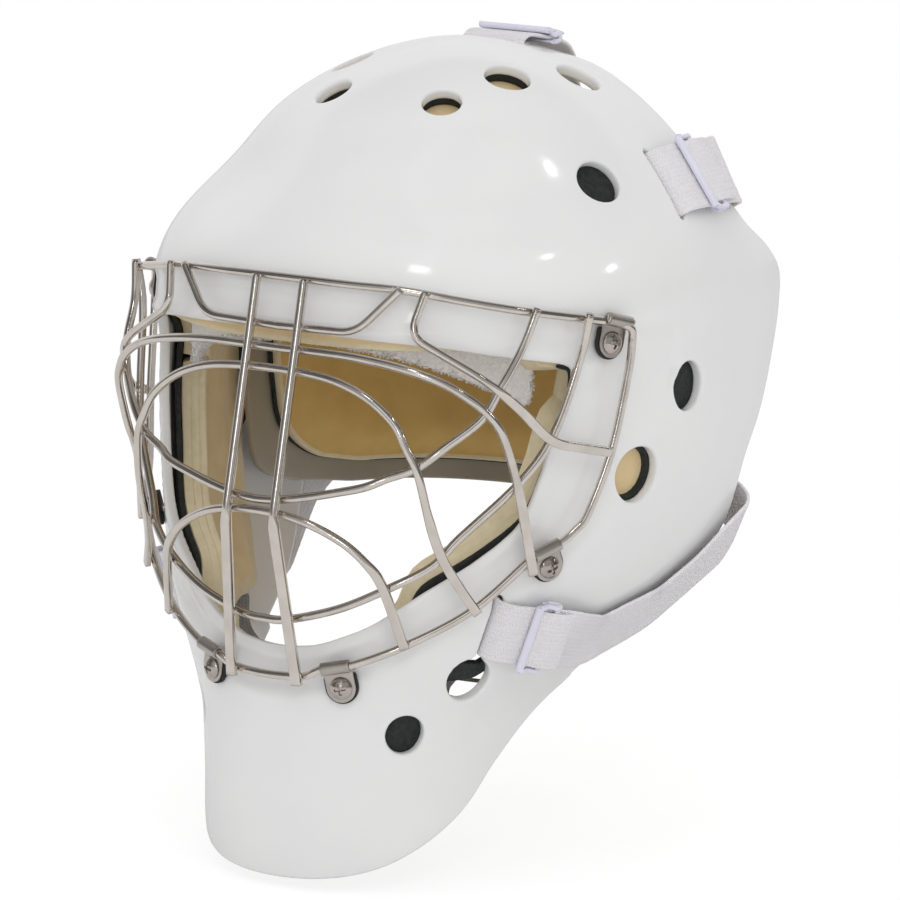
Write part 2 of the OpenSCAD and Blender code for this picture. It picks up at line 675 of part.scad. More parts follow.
// Straps
slider_run = slider_l + 14;
temple_n = shell_normal(slot_temple[0], slot_temple[1]);
temple_along = unit([-0.08, 1, -0.12] - temple_n * ([-0.08, 1, -0.12] * temple_n));
temple_across = cross(temple_along, temple_n);
temple_start = shell_point(slot_temple[0], slot_temple[1]);
temple_path = [[temple_start, temple_n]];
lower_n = shell_normal(slot_lower[0], slot_lower[1]);
lower_start = shell_point(slot_lower[0], slot_lower[1]);
lower_along = unit([0.28, 1, -0.1] - lower_n * ([0.28, 1, -0.1] * lower_n));
lower_across = cross(lower_along, lower_n);
lower_path = [[lower_start, lower_n]];

// A flat strap along points, its across direction square to the path and the normals
module strap(points, normals, w) {
    n = len(points);
    ring = [for (i = [0:n - 1])
        let (t = unit(points[min(i + 1, n - 1)] - points[max(i - 1, 0)]),
             across = unit(cross(t, normals[i])), nn = cross(across, t),
             x = across * w / 2, z = nn * strap_t / 2)
        each [points[i] - x - z, points[i] + x - z, points[i] + x + z, points[i] - x + z]];
    sides = [for (i = [0:n - 2], j = [0:3])
        let (a = 4 * i + j, b = 4 * i + (j + 1) % 4) each [[a, b, a + 4], [b, b + 4, a + 4]]];
    e = 4 * (n - 1);
    polyhedron(ring, concat([[0, 2, 1], [0, 3, 2]], sides, [[e, e + 1, e + 2], [e, e + 2, e + 3]]),
               convexity = 4);
}

crown_start_z = crown_h - 3;
crown_n = unit([0, 0.22, 1]);
crown_along = unit([0, 1, -0.22]);
// Points of a strap: out of its slot, straight through the slider, then over the rim
function strap_run(start, n, along, rest) =
    concat([start - n * (shell_wall + bar_in - 0.3), start - n, start + n * 1.6 + along * 2.4,
            start + n * strap_lift + along * 7],
           [start + n * strap_lift + along * (7 + slider_run)], rest);
function strap_normals(n, along, rest) = concat([-along, -along, unit(n - along), n, n], rest);

// Middle of a strap that lies on the back plate
strap_off = strap_t / 2 + 0.7;
function plate_run(a, b) = [for (t = [0, 0.5, 1]) a + (b - a) * t];
function plate_ends(a, b) = [for (q = plate_run(a, b)) off_plate(q[0], q[1], strap_off)];
function plate_end_normals(a, b) = [for (q = plate_run(a, b)) plate_normal(q[0], q[1])];

module crown_strap() {
    start = [0, slot_crown_y, crown_start_z];
    a = [180, 65];
    b = [180, 46];
    rest = concat([[0, hinge_y + 3, hinge_z + 1], [0, hinge_y + 7, hinge_z - 8]], plate_ends(a, b));
    normals = concat([unit([0, 0.8, 0.8]), unit([0, 1, 0.3])], plate_end_normals(a, b));
    color(elastic)
        difference() {
            strap(strap_run(start, crown_n, crown_along, rest),
                  strap_normals(crown_n, crown_along, normals), strap_w);
            screw_gaps();
        }
}

module temple_strap() {
    a = [122, 38];
    b = [136, 35];
    over = temple_start + temple_n * strap_lift + temple_along * (slider_run + 19);
    rest = concat([over], plate_ends(a, b));
    normals = concat([unit([1, 0.5, 0.5])], plate_end_normals(a, b));
    difference() {
        strap(strap_run(temple_start, temple_n, temple_along, rest),
              strap_normals(temple_n, temple_along, normals), strap_w);
        screw_gaps();
    }
}
module temple_strap_left() { color(elastic) temple_strap(); }
module temple_strap_right() { color(elastic) mirror([1, 0, 0]) temple_strap(); }

module lower_strap() {
    a = [123, -81];
    b = [138, -79];
    bend = [[82, -133, 3.4], [93, -126, 3.4], [97, -114, 3.4], [101, -104, 3.4], [105.5, -96, 2.4]];
    rest = concat([for (q = bend) lifted(q[0], q[1], q[2])], plate_ends(a, b));
    normals = concat([for (i = [0:3]) shell_normal(bend[i][0], bend[i][1])],
                     [unit([1, 0.8, -0.3])], plate_end_normals(a, b));
    difference() {
        strap(strap_run(lower_start, lower_n, lower_along, rest),
              strap_normals(lower_n, lower_along, normals), lower_strap_w);
        screw_gaps();
    }
}
module lower_strap_left() { color(elastic) lower_strap(); }
module lower_strap_right() { color(elastic) mirror([1, 0, 0]) lower_strap(); }

bar_d = 3;
bar_over = 7;
// Depth of a stop bar behind the shell's wall, where the shell curves
bar_in = 2.4;
// Stop bars inside the shell, through the folded strap ends
module strap_bar(start, n, across, w) {
    at_frame(start - n * (shell_wall + bar_in + bar_d / 2), across, cross(n, across), n)
        rotate([0, 90, 0]) cylinder(w + bar_over, d = bar_d, center = true);
}
module strap_bars() {
    color(nylon) {
        both_sides() {
            strap_bar(temple_start, temple_n, temple_across, strap_w);
            strap_bar(lower_start, lower_n, lower_across, lower_strap_w);
        }
        strap_bar([0, slot_crown_y, crown_start_z], crown_n, [1, 0, 0], strap_w);
    }
}

// Slider: bars over the strap, one bar under it and two cheeks
module slider_body(w) {
    inner_w = w + 2 * slider_gap;
    outer_w = inner_w + 2 * slider_bar;
    over = strap_t / 2 + slider_gap;
    for (x = [-1, 1])
        translate([x * (inner_w + slider_bar) / 2, 0, slider_bar / 2 - 0.1])
            cube([slider_bar, slider_l, 2 * over + slider_bar + 1], center = true);
    for (y = [-1, 0, 1])
        translate([0, y * (slider_l - 3) / 2, over + slider_bar / 2])
            cube([outer_w, 3, slider_bar], center = true);
    translate([0, 0, -over - 0.5]) cube([outer_w, 4, 1], center = true);
}
module slider_at(start, n, along, w) {
    at_frame(start + n * strap_lift + along * (7 + slider_run / 2), cross(along, n), along, n)
        slider_body(w);
}
module crown_slider() {
    color(nylon)
        slider_at([0, slot_crown_y, crown_start_z], crown_n, crown_along, strap_w);
}
module temple_slider_left() { color(nylon) slider_at(temple_start, temple_n, temple_along, strap_w); }
module temple_slider_right() { mirror([1, 0, 0]) temple_slider_left(); }
module lower_slider_left() { color(nylon) slider_at(lower_start, lower_n, lower_along, lower_strap_w); }
module lower_slider_right() { mirror([1, 0, 0]) lower_slider_left(); }

// Screws that hold the strap ends to the back plate
module plate_screws() {
    head_z = strap_off + strap_t / 2 + 0.4;
    color(steel)
        at_plate_screws() {
            translate([0, 0, head_z]) cylinder(1.6, d = 9);
            translate([0, 0, -plate_wall]) cylinder(plate_wall + head_z + 0.8, d = plate_screw_d);
        }
}
module screw_gaps() { at_plate_screws() cylinder(20, d = plate_screw_d + 0.8, center = true); }

// Chin sling: a cup on webbing that turns on two snaps
sling_site = [72, -140];
sling_wall = shell_point(sling_site[0], sling_site[1], shell_wall + 0.3);
stud_d = 5;
stud_out = 1.3;
snap_t = 2.6;
snap_in = 7;
snap_d = 10;
cup = [0, -48, -152];
cup_reach = 34;
cup_h = 34;
cup_t = 5;
function cup_point(th, k, d) =
    cup + [(cup_half_w - d) * cos(80 * k) * sin(th), -(cup_reach - d) * cos(80 * k) * cos(th),
           -(cup_h - d) * sin(80 * k)];
module chin_cup() {
    wide = [for (a = [-100:10:100]) a];
    deep = [1, 0.82, 0.64, 0.46, 0.28, 0.1, 0];
    function grid(d) = [for (k = deep, th = wide) cup_point(th, k, d)];
    color(rubber) closed_patch(grid(0), grid(cup_t), len(wide), len(deep));
}
module chin_webbing() {
    x = sling_wall[0] - snap_in - strap_t / 2 - 0.4;
    y = sling_wall[1];
    z = sling_wall[2];
    side = cup_half_w + strap_t / 2 + 0.4;
    color("#8d8782")
        both_sides()
            strap([[side, cup[1] + 2, cup[2] - 12], [side, cup[1] + 2, cup[2] - 3],
                   [side + 6, cup[1] + 3, cup[2] + 3], [x - 6, y - 2, z - 11], [x, y, z - 5], [x, y, z + 7]],
                  [[1, 0, 0], [1, 0, -0.3], [0.5, 0, -1], [0.5, 0, -1], [1, 0, -0.3], [1, 0, 0]], web_w);
}
module snap_studs() {
    reach = snap_in - stud_out - 1.2;
    color(steel)
        both_sides()
            translate(sling_wall - [stud_out + reach, 0, 0]) rotate([0, 90, 0]) cylinder(reach, d = stud_d);
}
module chin_snaps() {
    color(steel)
        both_sides()
            translate(sling_wall - [snap_in, 0, 0])
                rotate([0, 90, 0])
                    difference() {
                        cylinder(snap_t, d = snap_d);
                        translate([0, 0, 0.7]) cylinder(snap_t, d = stud_d + 0.7);
                    }
}

shell();
cage_rim();
cage_centre_bars();
cage_u_bar();
cage_brow_bars();
cage_sag_upper();
cage_sag_lower();
cage_arc_outer();
cage_arc_middle();
cage_arc_inner();
cage_clips();
clip_pads();
clip_screws();
clip_nuts();
liner_left();
liner_right();
forehead_pad();
sweatband();
crown_pad();
temple_pad_left();
temple_pad_right();
cheek_pad_left();
cheek_pad_right();
chin_pad();
chin_cup();
chin_webbing();
chin_snaps();
snap_studs();
back_plate();
plate_foam();
plate_lining();
plate_screws();
strap_bars();
crown_strap();
temple_strap_left();
temple_strap_right();
lower_strap_left();
lower_strap_right();
crown_slider();
temple_slider_left();
temple_slider_right();
lower_slider_left();
lower_slider_right();
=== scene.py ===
"""Goalie mask: every visible piece, its material, the light and the camera."""
import math

import bpy
import numpy as np
from mathutils import Matrix, Vector


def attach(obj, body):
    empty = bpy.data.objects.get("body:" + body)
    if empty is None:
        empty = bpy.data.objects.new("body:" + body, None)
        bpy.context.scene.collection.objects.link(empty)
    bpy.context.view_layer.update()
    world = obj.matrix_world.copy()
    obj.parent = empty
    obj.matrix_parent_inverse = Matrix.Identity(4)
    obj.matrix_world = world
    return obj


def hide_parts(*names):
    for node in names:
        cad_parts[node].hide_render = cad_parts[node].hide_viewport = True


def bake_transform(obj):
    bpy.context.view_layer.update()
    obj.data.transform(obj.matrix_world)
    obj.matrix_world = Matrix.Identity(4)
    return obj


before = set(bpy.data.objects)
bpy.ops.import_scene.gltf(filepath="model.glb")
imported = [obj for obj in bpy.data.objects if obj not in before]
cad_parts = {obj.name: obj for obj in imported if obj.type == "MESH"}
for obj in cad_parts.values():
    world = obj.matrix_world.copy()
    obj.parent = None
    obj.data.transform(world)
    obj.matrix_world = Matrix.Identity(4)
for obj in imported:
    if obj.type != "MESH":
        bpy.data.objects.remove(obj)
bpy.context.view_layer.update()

MM = 0.001
FLIP = np.array([-1, 1, 1])


# Vectors and tables, in millimetres
def unit(v):
    v = np.asarray(v, float)
    return v / np.maximum(np.linalg.norm(v, axis=-1, keepdims=True), 1e-12)


def curve(table, at):
    """Smooth curve through [position, value] rows, as in the part's source."""
    t = np.array(table, float)
    x, y = t[:, 0], t[:, 1]
    slope = np.empty(len(x))
    slope[1:-1] = (y[2:] - y[:-2]) / (x[2:] - x[:-2])
    slope[0] = (y[1] - y[0]) / (x[1] - x[0])
    slope[-1] = (y[-1] - y[-2]) / (x[-1] - x[-2])
    z = np.clip(np.asarray(at, float), x[0], x[-1])
    i = np.clip(np.searchsorted(x, z, side="right") - 1, 0, len(x) - 2)
    h = x[i + 1] - x[i]
    u = (z - x[i]) / h
    return (
        (2 * u**3 - 3 * u**2 + 1) * y[i]
        + (u**3 - 2 * u**2 + u) * h * slope[i]
        + (3 * u**2 - 2 * u**3) * y[i + 1]
        + (u**3 - u**2) * h * slope[i + 1]
    )


def bell(t):
    return np.exp(-t * t)


def signed_pow(c, p):
    return np.sign(c) * np.abs(c) ** p


def smoothstep(a, b, x):
    t = np.clip((x - a) / (b - a), 0, 1)
    return t * t * (3 - 2 * t)


# The shell's form, from the same named values as the part's source
CROWN, BROW, EAR_W, CHIN_W, WALL, CHIN_DEPTH = 100, 98, 234, 130, 3.5, 229
SWELL = [[-240, 6], [-215, 10], [-180, 9], [-150, 7], [-110, 5], [-60, 3], [0, 0]]
HALF_W = [[-240, CHIN_W / 2 - 10], [-215, CHIN_W / 2 - 3], [-190, CHIN_W / 2],
          [-160, CHIN_W / 2 + 7], [-130, EAR_W / 2 - 27], [-100, EAR_W / 2 - 9.5],
          [-60, EAR_W / 2 - 1], [-20, EAR_W / 2], [0, EAR_W / 2 - 1]]
WIDEST_Y = [[-240, -40], [-190, -25], [-150, 0], [-110, 25], [-50, 30], [0, 30]]
REAR_Y = [[-240, 40], [-190, 60], [-150, 120], [-110, 180], [-50, 205], [0, 205]]
SQUARE = [[-240, 2.2], [-190, 2.2], [-140, 2.4], [-110, 2.4], [-60, 2.3], [0, 2.4],
          [30, 2.3], [60, 2.1], [100, 2]]


def dome(z, d, p):
    k = np.clip(z / (CROWN - d), 0, 1)
    return (1 - k**p) ** (1 / p)


def shell_point(th, z, d=0.0, soft=0.0):
    """Point of the shell at angle th (degrees, 0 at the nose), d inside it."""
    th, z = np.broadcast_arrays(np.asarray(th, float), np.asarray(z, float))
    zl = np.minimum(z, 0)
    w = curve(WIDEST_Y, zl)
    f = w + (d - BROW - curve(SWELL, zl) - w) * dome(z, d, 1.7)
    a = (curve(HALF_W, zl) - d) * dome(z, d, 1.8)
    r = w + (curve(REAR_Y, zl) - d - w) * dome(z, d, 1.55)
    p = 2 / curve(SQUARE, z)
    s, c = np.sin(np.radians(th)), np.cos(np.radians(th))
    x = a * signed_pow(s, p)
    y = w - np.where(c > 0, w - f, r - w) * signed_pow(c, p)
    out = unit(np.stack([x, y - 20, z - np.minimum(z, 0.35 * z) + 0.01], -1))
    side = np.sqrt(th * th + soft * soft)
    dip = 8 * bell((side - 42) / 34) * bell((z - 50) / 17)
    return np.stack([x, y, z], -1) - out * dip[..., None]


def shell_normal(th, z):
    s, t = (-1 if th < 0 else 1), max(abs(th), 2)
    n = unit(np.cross(shell_point(t + 1, z) - shell_point(t - 1, z),
                      shell_point(t, z + 1) - shell_point(t, z - 1)))
    return np.array([s * n[0], n[1], n[2]])


def lifted(th, z, lift):
    return shell_point(th, z) + shell_normal(th, z) * lift


def wire_point(row):
    p = shell_point(row[0], row[1])
    w = curve(WIDEST_Y, min(row[1], 0))
    return p + unit([p[0], p[1] - w, 0]) * row[2]


def spline(points, n, closed=False):
    """Smooth path through points, n steps between two of them."""
    p = np.array(points, float)
    m = len(p)
    if closed:
        a, b, c, d = np.roll(p, 1, 0), p, np.roll(p, -1, 0), np.roll(p, -2, 0)
    else:
        b, c = p[:-1], p[1:]
        a = np.vstack([2 * p[0] - p[1], p[:-2]])
        d = np.vstack([p[2:], 2 * p[-1] - p[-2]])
    t = (np.arange(n) / n)[None, :, None]
    a, b, c, d = (v[:, None, :] for v in (a, b, c, d))
    out = 0.5 * (2 * b + (c - a) * t + (2 * a - 5 * b + 4 * c - d) * t**2
                 + (3 * b - a - 3 * c + d) * t**3)
    out = out.reshape(-1, p.shape[1])
    return out if closed else np.vstack([out, p[-1:]])


# Meshes
def new_object(name, verts, faces, mat, body="mask", angle=None, parts=None):
    """parts: for each face, which of the materials in mat it has."""
    mesh = bpy.data.meshes.new(name)
    points = (np.asarray(verts, float) * MM).tolist()
    mesh.from_pydata(points, [], [list(map(int, f)) for f in faces])
    for m in mat if isinstance(mat, (list, tuple)) else [mat]:
        mesh.materials.append(m)
    if parts is not None:
        mesh.polygons.foreach_set("material_index", np.asarray(parts, np.int32))
    mesh.validate()
    obj = bpy.data.objects.new(name, mesh)
    bpy.context.scene.collection.objects.link(obj)
    mesh.shade_smooth()
    if angle:
        mesh.set_sharp_from_angle(angle=math.radians(angle))
    if body:
        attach(obj, body)
    return obj


class Pile:
    """Vertices and faces gathered from several forms."""

    def __init__(self):
        self.v, self.f, self.n = [], [], 0

    def add(self, verts, faces):
        self.v.append(np.asarray(verts, float))
        self.f += [[i + self.n for i in f] for f in faces]
        self.n += len(verts)
        return self

    def mirror(self):
        """Adds the mirror image in X of all that is there."""
        v = np.vstack(self.v)
        faces = [f[::-1] for f in self.f]
        self.v.append(v * FLIP)
        self.f += [[i + self.n for i in f] for f in faces]
        self.n *= 2
        return self

    def object(self, name, mat, body="mask", **kw):
        return new_object(name, np.vstack(self.v), self.f, mat, body, **kw)


def grid_faces(rows, cols, wrap_cols=False, wrap_rows=False, flip=False):
    faces = []
    for j in range(rows if wrap_rows else rows - 1):
        for i in range(cols if wrap_cols else cols - 1):
            a, b = j * cols + i, j * cols + (i + 1) % cols
            j2 = (j + 1) % rows
            c, d = j2 * cols + i, j2 * cols + (i + 1) % cols
            faces.append([a, c, d, b] if flip else [a, b, d, c])
    return faces


def sweep(path, outward, section, closed=False):
    """A rod along path. section(k) gives its ring of [across, outward] at step k."""
    path = np.asarray(path, float)
    n = len(path)
    if closed:
        t = unit(np.roll(path, -1, 0) - np.roll(path, 1, 0))
    else:
        t = unit(np.vstack([path[1] - path[0], path[2:] - path[:-2], path[-1] - path[-2]]))
    u = unit(outward - t * np.sum(outward * t, 1, keepdims=True))
    v = np.cross(t, u)
    rings = [path[k] + np.asarray(section(k)) @ np.stack([v[k], u[k]]) for k in range(n)]
    m = len(rings[0])
    faces = grid_faces(n, m, wrap_cols=True, wrap_rows=closed, flip=True)
    if not closed:
        faces += [list(range(m)), list(range((n - 1) * m, n * m))[::-1]]
    return np.vstack(rings), faces


def round_section(r, sides=20):
    a = np.arange(sides) * 2 * math.pi / sides
    return np.stack([r * np.cos(a), r * np.sin(a)], 1)


def flat_section(r, k, sides=20):
    """Round at k = 0; at k = 1 a pressed bar with a flat face outward."""
    a = np.arange(sides) * 2 * math.pi / sides
    c, s = np.cos(a), np.sin(a)
    p = 1 - 0.62 * k
    x = r * (1 + 0.16 * k) * signed_pow(c, p)
    y = r * (1 - 0.24 * k) * signed_pow(s, p)
    return np.stack([x, y], 1)


def resample(path, step, closed=False):
    p = np.vstack([path, path[:1]]) if closed else np.asarray(path)
    s = lengths(p)
    n = max(int(s[-1] / step), 4)
    at = np.linspace(0, s[-1], n + 1)
    if closed:
        at = at[:-1]
    return np.stack([np.interp(at, s, p[:, k]) for k in range(p.shape[1])], 1)


def blur(p, sigma, axis, wrap):
    n = int(3 * sigma + 1)
    k = np.exp(-0.5 * (np.arange(-n, n + 1) / sigma) ** 2)
    k /= k.sum()
    if wrap:
        return sum(w * np.roll(p, o, axis) for w, o in zip(k, range(-n, n + 1)))
    pad = [(0, 0)] * p.ndim
    pad[axis] = (n, n)
    q = np.pad(p, pad, mode="reflect", reflect_type="odd")
    size = p.shape[axis]
    return sum(w * np.take(q, np.arange(o, o + size), axis) for w, o in zip(k, range(2 * n + 1)))


def loop_distance(x, y, loop):
    """Distance in the plane to a closed loop, positive inside it."""
    a, b = loop, np.roll(loop, -1, 0)
    q = np.stack([np.ravel(x), np.ravel(y)], 1)
    best = np.empty(len(q))
    inside = np.zeros(len(q), bool)
    e = (b - a)[None]
    for s in range(0, len(q), 4000):
        p = q[s:s + 4000, None, :]
        t = np.clip(np.sum((p - a) * e, 2) / np.sum(e * e, 2), 0, 1)
        best[s:s + 4000] = np.min(np.linalg.norm(p - a - t[..., None] * e, axis=2), 1)
        cross = (a[:, 1] > p[..., 1]) != (b[:, 1] > p[..., 1])
        xs = a[:, 0] + (p[..., 1] - a[:, 1]) / (b[:, 1] - a[:, 1] + 1e-12) * (b[:, 0] - a[:, 0])
        inside[s:s + 4000] = np.sum(cross & (p[..., 0] < xs), 1) % 2 == 1
    return np.where(inside, best, -best).reshape(np.shape(x))


def clip(tri, state, crossing, faces):
    """Keeps the part of a triangle on the solid's side of the cut."""
    s = state[tri]
    if not (s < 0).any():
        return
    poly = []
    for k in range(3):
        a, b = int(tri[k]), int(tri[(k + 1) % 3])
        if state[a] <= 0:
            poly.append(a)
        if state[a] * state[b] < 0:
            poly.append(crossing(a, b))
    if len(poly) >= 3:
        faces.append(poly)


def cut_solid(p, off, field, profile, at=None, wrap=False, apex=None):
    """A sheet between the grid p and p + off, cut away where field is positive.

    profile: rows of [outward, share of the depth] down the cut edge, from skin to skin.
    Returns vertices, faces, and for each face 0 outer skin, 1 edge, 2 inner skin.
    """
    rows, cols = p.shape[:2]
    verts, move = p.reshape(-1, 3), off.reshape(-1, 3)
    at = verts if at is None else at.reshape(rows * cols, -1)
    quads = np.array(grid_faces(rows, cols, wrap_cols=wrap))
    cap = np.zeros((0, 3), int)
    if apex is not None:
        first = (rows - 1) * cols
        cap = np.array([[first + i, first + (i + 1) % cols, rows * cols] for i in range(cols)])
        verts, move, at = (np.vstack([q, [end]]) for q, end in
                           ((verts, apex[0]), (move, apex[1]), (at, apex[0])))
    tris = np.vstack([quads[:, [0, 1, 2]], quads[:, [0, 2, 3]], cap])
    r = -profile[0][0]
    f = field(at) + r

    # Crossings of the cut with the edges, found by halving each edge
    mixed = tris[(f[tris] < 0).any(1) & (f[tris] >= 0).any(1)]
    edges = np.unique(np.sort(np.vstack([mixed[:, [0, 1]], mixed[:, [1, 2]], mixed[:, [2, 0]]]), 1),
                      axis=0)
    edges = edges[(f[edges[:, 0]] < 0) != (f[edges[:, 1]] < 0)]
    inner = np.where(f[edges[:, 0]] < 0, edges[:, 0], edges[:, 1])
    outer = np.where(f[edges[:, 0]] < 0, edges[:, 1], edges[:, 0])
    lo, hi = np.zeros(len(edges)), np.ones(len(edges))
    for _ in range(14):
        t = (lo + hi) / 2
        out = field(at[inner] * (1 - t[:, None]) + at[outer] * t[:, None]) + r >= 0
        hi = np.where(out, t, hi)
        lo = np.where(out, lo, t)
    t = (lo + hi) / 2
    cross_p, cross_m = (q[inner] * (1 - t[:, None]) + q[outer] * t[:, None] for q in (verts, move))

    # A vertex near the cut moves onto it, so that no thin triangle is left
    verts, move, state = verts.copy(), move.copy(), np.where(f < 0, -1, 1)
    snap = {}
    for k in np.argsort(np.minimum(t, 1 - t)):
        if 0.3 <= t[k] <= 0.7:
            break
        snap.setdefault(inner[k] if t[k] < 0.3 else outer[k], k)
    for v, k in snap.items():
        verts[v], move[v], state[v] = cross_p[k], cross_m[k], 0
    ids, extra = {}, []
    table = {(int(a), int(b)): k for k, (a, b) in enumerate(zip(inner, outer))}

    def crossing(a, b):
        key = (a, b) if state[a] < 0 else (b, a)
        if key not in ids:
            ids[key] = len(verts) + len(extra)
            extra.append(table[key])
        return ids[key]

    faces = []
    for q in quads:
        s = state[q]
        if (s < 0).all():
            faces.append([int(i) for i in q])
        elif (s < 0).any():
            for tri in (q[[0, 1, 2]], q[[0, 2, 3]]):
                clip(tri, state, crossing, faces)
    for tri in cap:
        clip(tri, state, crossing, faces)
    verts, move = np.vstack([verts, cross_p[extra]]), np.vstack([move, cross_m[extra]])
    used = np.unique(np.concatenate([np.array(g) for g in faces]))
    remap = -np.ones(len(verts), int)
    remap[used] = np.arange(len(used))
    verts, move = verts[used], move[used]
    faces = [[int(remap[i]) for i in g] for g in faces]

    # The cut edge: the skin's border runs down the profile to the other skin
    count = set()
    for g in faces:
        count.update(zip(g, g[1:] + g[:1]))
    border = [e for e in count if e[::-1] not in count]
    ahead, behind = dict(border), {b: a for a, b in border}
    ring = sorted(ahead)
    pos = {v: k for k, v in enumerate(ring)}
    run = verts[[ahead[v] for v in ring]] - verts[[behind[v] for v in ring]]
    side = unit(np.cross(run, -move[ring]))
    levels = [verts[ring] + side * (s + r) + move[ring] * d for s, d in profile[1:-1]]
    m, nv = len(ring), len(verts)
    low = nv + m * len(levels)

    def vid(level, v):
        if level == 0:
            return v
        return nv + (level - 1) * m + pos[v] if level <= len(levels) else low + v

    out = list(faces)
    for a, b in border:
        for lv in range(len(levels) + 1):
            out.append([vid(lv, b), vid(lv, a), vid(lv + 1, a), vid(lv + 1, b)])
    parts = [0] * len(faces) + [1] * (len(out) - len(faces)) + [2] * len(faces)
    out += [[low + i for i in g[::-1]] for g in faces]
    return np.vstack([verts] + levels + [verts + move]), out, parts


def edge_profile(t, r_out, r_in, grooves=(), pressed=0.45, lean=0.0):
    """Edge of a sheet t thick, rounded over, with joint lines pressed in at some depths.

    lean: how much further out the inner skin reaches than the outer one."""
    r = max(r_out, r_in)
    turn = np.radians([18, 42, 66, 90])
    rows = [[-r, 0]] + ([[-r_out, 0]] if r_out < r else [])
    rows += [[r_out * (math.sin(a) - 1), r_out * (1 - math.cos(a))] for a in turn]
    for g in grooves:
        rows += [[s + lean * d / t, d] for s, d in ((0, g - 0.4), (-pressed, g), (0, g + 0.4))]
    rows += [[lean + r_in * (math.sin(a) - 1), t - r_in * (1 - math.cos(a))] for a in turn[::-1]]
    rows += ([[lean - r_in, t]] if lean - r_in > -r else []) + [[-r, t]]
    return [[s, d / t] for s, d in rows]


def grid_normals(q, wrap=False):
    du = np.roll(q, -1, 1) - np.roll(q, 1, 1) if wrap else np.gradient(q, axis=1)
    return unit(np.cross(du, np.gradient(q, axis=0)))


def outline(edge_a, edge_b, z0, z1, n=24):
    """Closed outline in [angle, height] between two edge tables."""
    z = np.linspace(z0, z1, n)
    return np.vstack([np.stack([curve(edge_a, z), z], 1),
                      np.stack([curve(edge_b, z), z], 1)[::-1]])


def lengths(q):
    return np.concatenate([[0], np.cumsum(np.linalg.norm(np.diff(q, axis=0), axis=1))])


def pad(name, node, surface, corners, depth, thick, mats, profile, body="mask", step=2.4,
        sigma=4.0, slot=None, mirror=False, fill=0.8, bulge=None, cuts=(), crown=0.0, sink=0.0):
    """A sheet or foam piece cut to an outline [angle, height], thick towards the head.

    bulge(angle, height) scales the thickness; cuts take points and are positive where cut."""
    c = np.array(corners, float)
    (t0, z0), (t1, z1) = c.min(0), c.max(0)
    ths, zs = np.linspace(t0 - 15, t1 + 15, 900), np.linspace(z0 - 15, z1 + 15, 400)
    along = lengths(surface(ths, np.full(900, (z0 + z1) / 2), depth))
    rise = lengths(surface(np.full(400, (t0 + t1) / 2), zs, depth))
    loop = np.stack([np.interp(c[:, 0], ths, along), np.interp(c[:, 1], zs, rise)], 1)
    loop = blur(resample(loop, 1.0, closed=True), sigma, 0, True)
    lo, hi = loop.min(0) - 2.5 * step, loop.max(0) + 2.5 * step
    n = ((hi - lo) / step).astype(int) + 1
    s, v = np.meshgrid(np.linspace(lo[0], hi[0], n[0]), np.linspace(lo[1], hi[1], n[1]))
    th, z = np.interp(s, along, ths), np.interp(v, rise, zs)
    p = surface(th, z, depth)
    p = p - grid_normals(p) * (sink(th, z)[..., None] if callable(sink) else sink)
    shape = np.ones(s.shape) if bulge is None else bulge(th, z)
    shape = shape * (1 - crown * bell(np.maximum(loop_distance(s, v, loop), 0) / 9.0))

    def field(a):
        f = -loop_distance(a[:, 0], a[:, 1], loop)
        for cut in cuts:
            f = np.maximum(f, cut(a[:, 2:]))
        return f

    verts, faces, parts = cut_solid(p, -grid_normals(p) * (thick * shape)[..., None], field,
                                    profile, at=np.dstack([s, v, p]))
    if mirror:
        verts, faces = verts * FLIP, [g[::-1] for g in faces]
    obj = new_object(name, verts, faces, mats, body, angle=50, parts=parts)
    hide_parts(node)
    return obj


def lathe(profile, sides):
    """Turned form round Z from rows of [radius, height], lowest first."""
    a = np.arange(sides) * 2 * math.pi / sides
    rings = [np.stack([r * np.cos(a), r * np.sin(a), np.full(sides, h)], 1) for r, h in profile]
    n = len(profile)
    faces = grid_faces(n, sides, wrap_cols=True)
    faces += [list(range(sides))[::-1], list(range((n - 1) * sides, n * sides))]
    return np.vstack(rings), faces


def slab(loop, z0, z1, r):
    """Plate over a convex outline, its edges rounded."""
    loop = np.asarray(loop, float)
    run = unit(np.roll(loop, -1, 0) - np.roll(loop, 1, 0))
    out = np.stack([run[:, 1], -run[:, 0]], 1)
    a = np.radians(np.linspace(0, 90, 5))
    rows = [[math.sin(q) * r - r, z0 + r - math.cos(q) * r] for q in a]
    rows += [[math.cos(q) * r - r, z1 - r + math.sin(q) * r] for q in a]
    rings = [np.column_stack([loop + out * s, np.full(len(loop), h)]) for s, h in rows]
    m, n = len(loop), len(rows)
    faces = grid_faces(n, m, wrap_cols=True)
    faces += [list(range(m))[::-1], list(range((n - 1) * m, n * m))]
    return np.vstack(rings), faces


def placed(verts, origin, x, y, z):
    return np.asarray(origin) + np.asarray(verts) @ np.stack([x, y, z])


def strap_section(w, t, r):
    """Rounded flat section, wound like round_section."""
    turn = np.radians([0, 22.5, 45, 67.5, 90])
    x, y = w / 2 - r, t / 2 - r
    pts = []
    for q, (sx, sy) in enumerate(((1, 1), (-1, 1), (-1, -1), (1, -1))):
        pts += [[sx * x + r * math.cos(a + q * math.pi / 2),
                 sy * y + r * math.sin(a + q * math.pi / 2)] for a in turn]
        if sy > 0 and sx > 0:
            pts += [[k * x, y + r] for k in np.linspace(1, -1, 9)[1:-1]]
        if sy < 0 and sx < 0:
            pts += [[k * x, -y - r] for k in np.linspace(-1, 1, 9)[1:-1]]
    return np.array(pts)


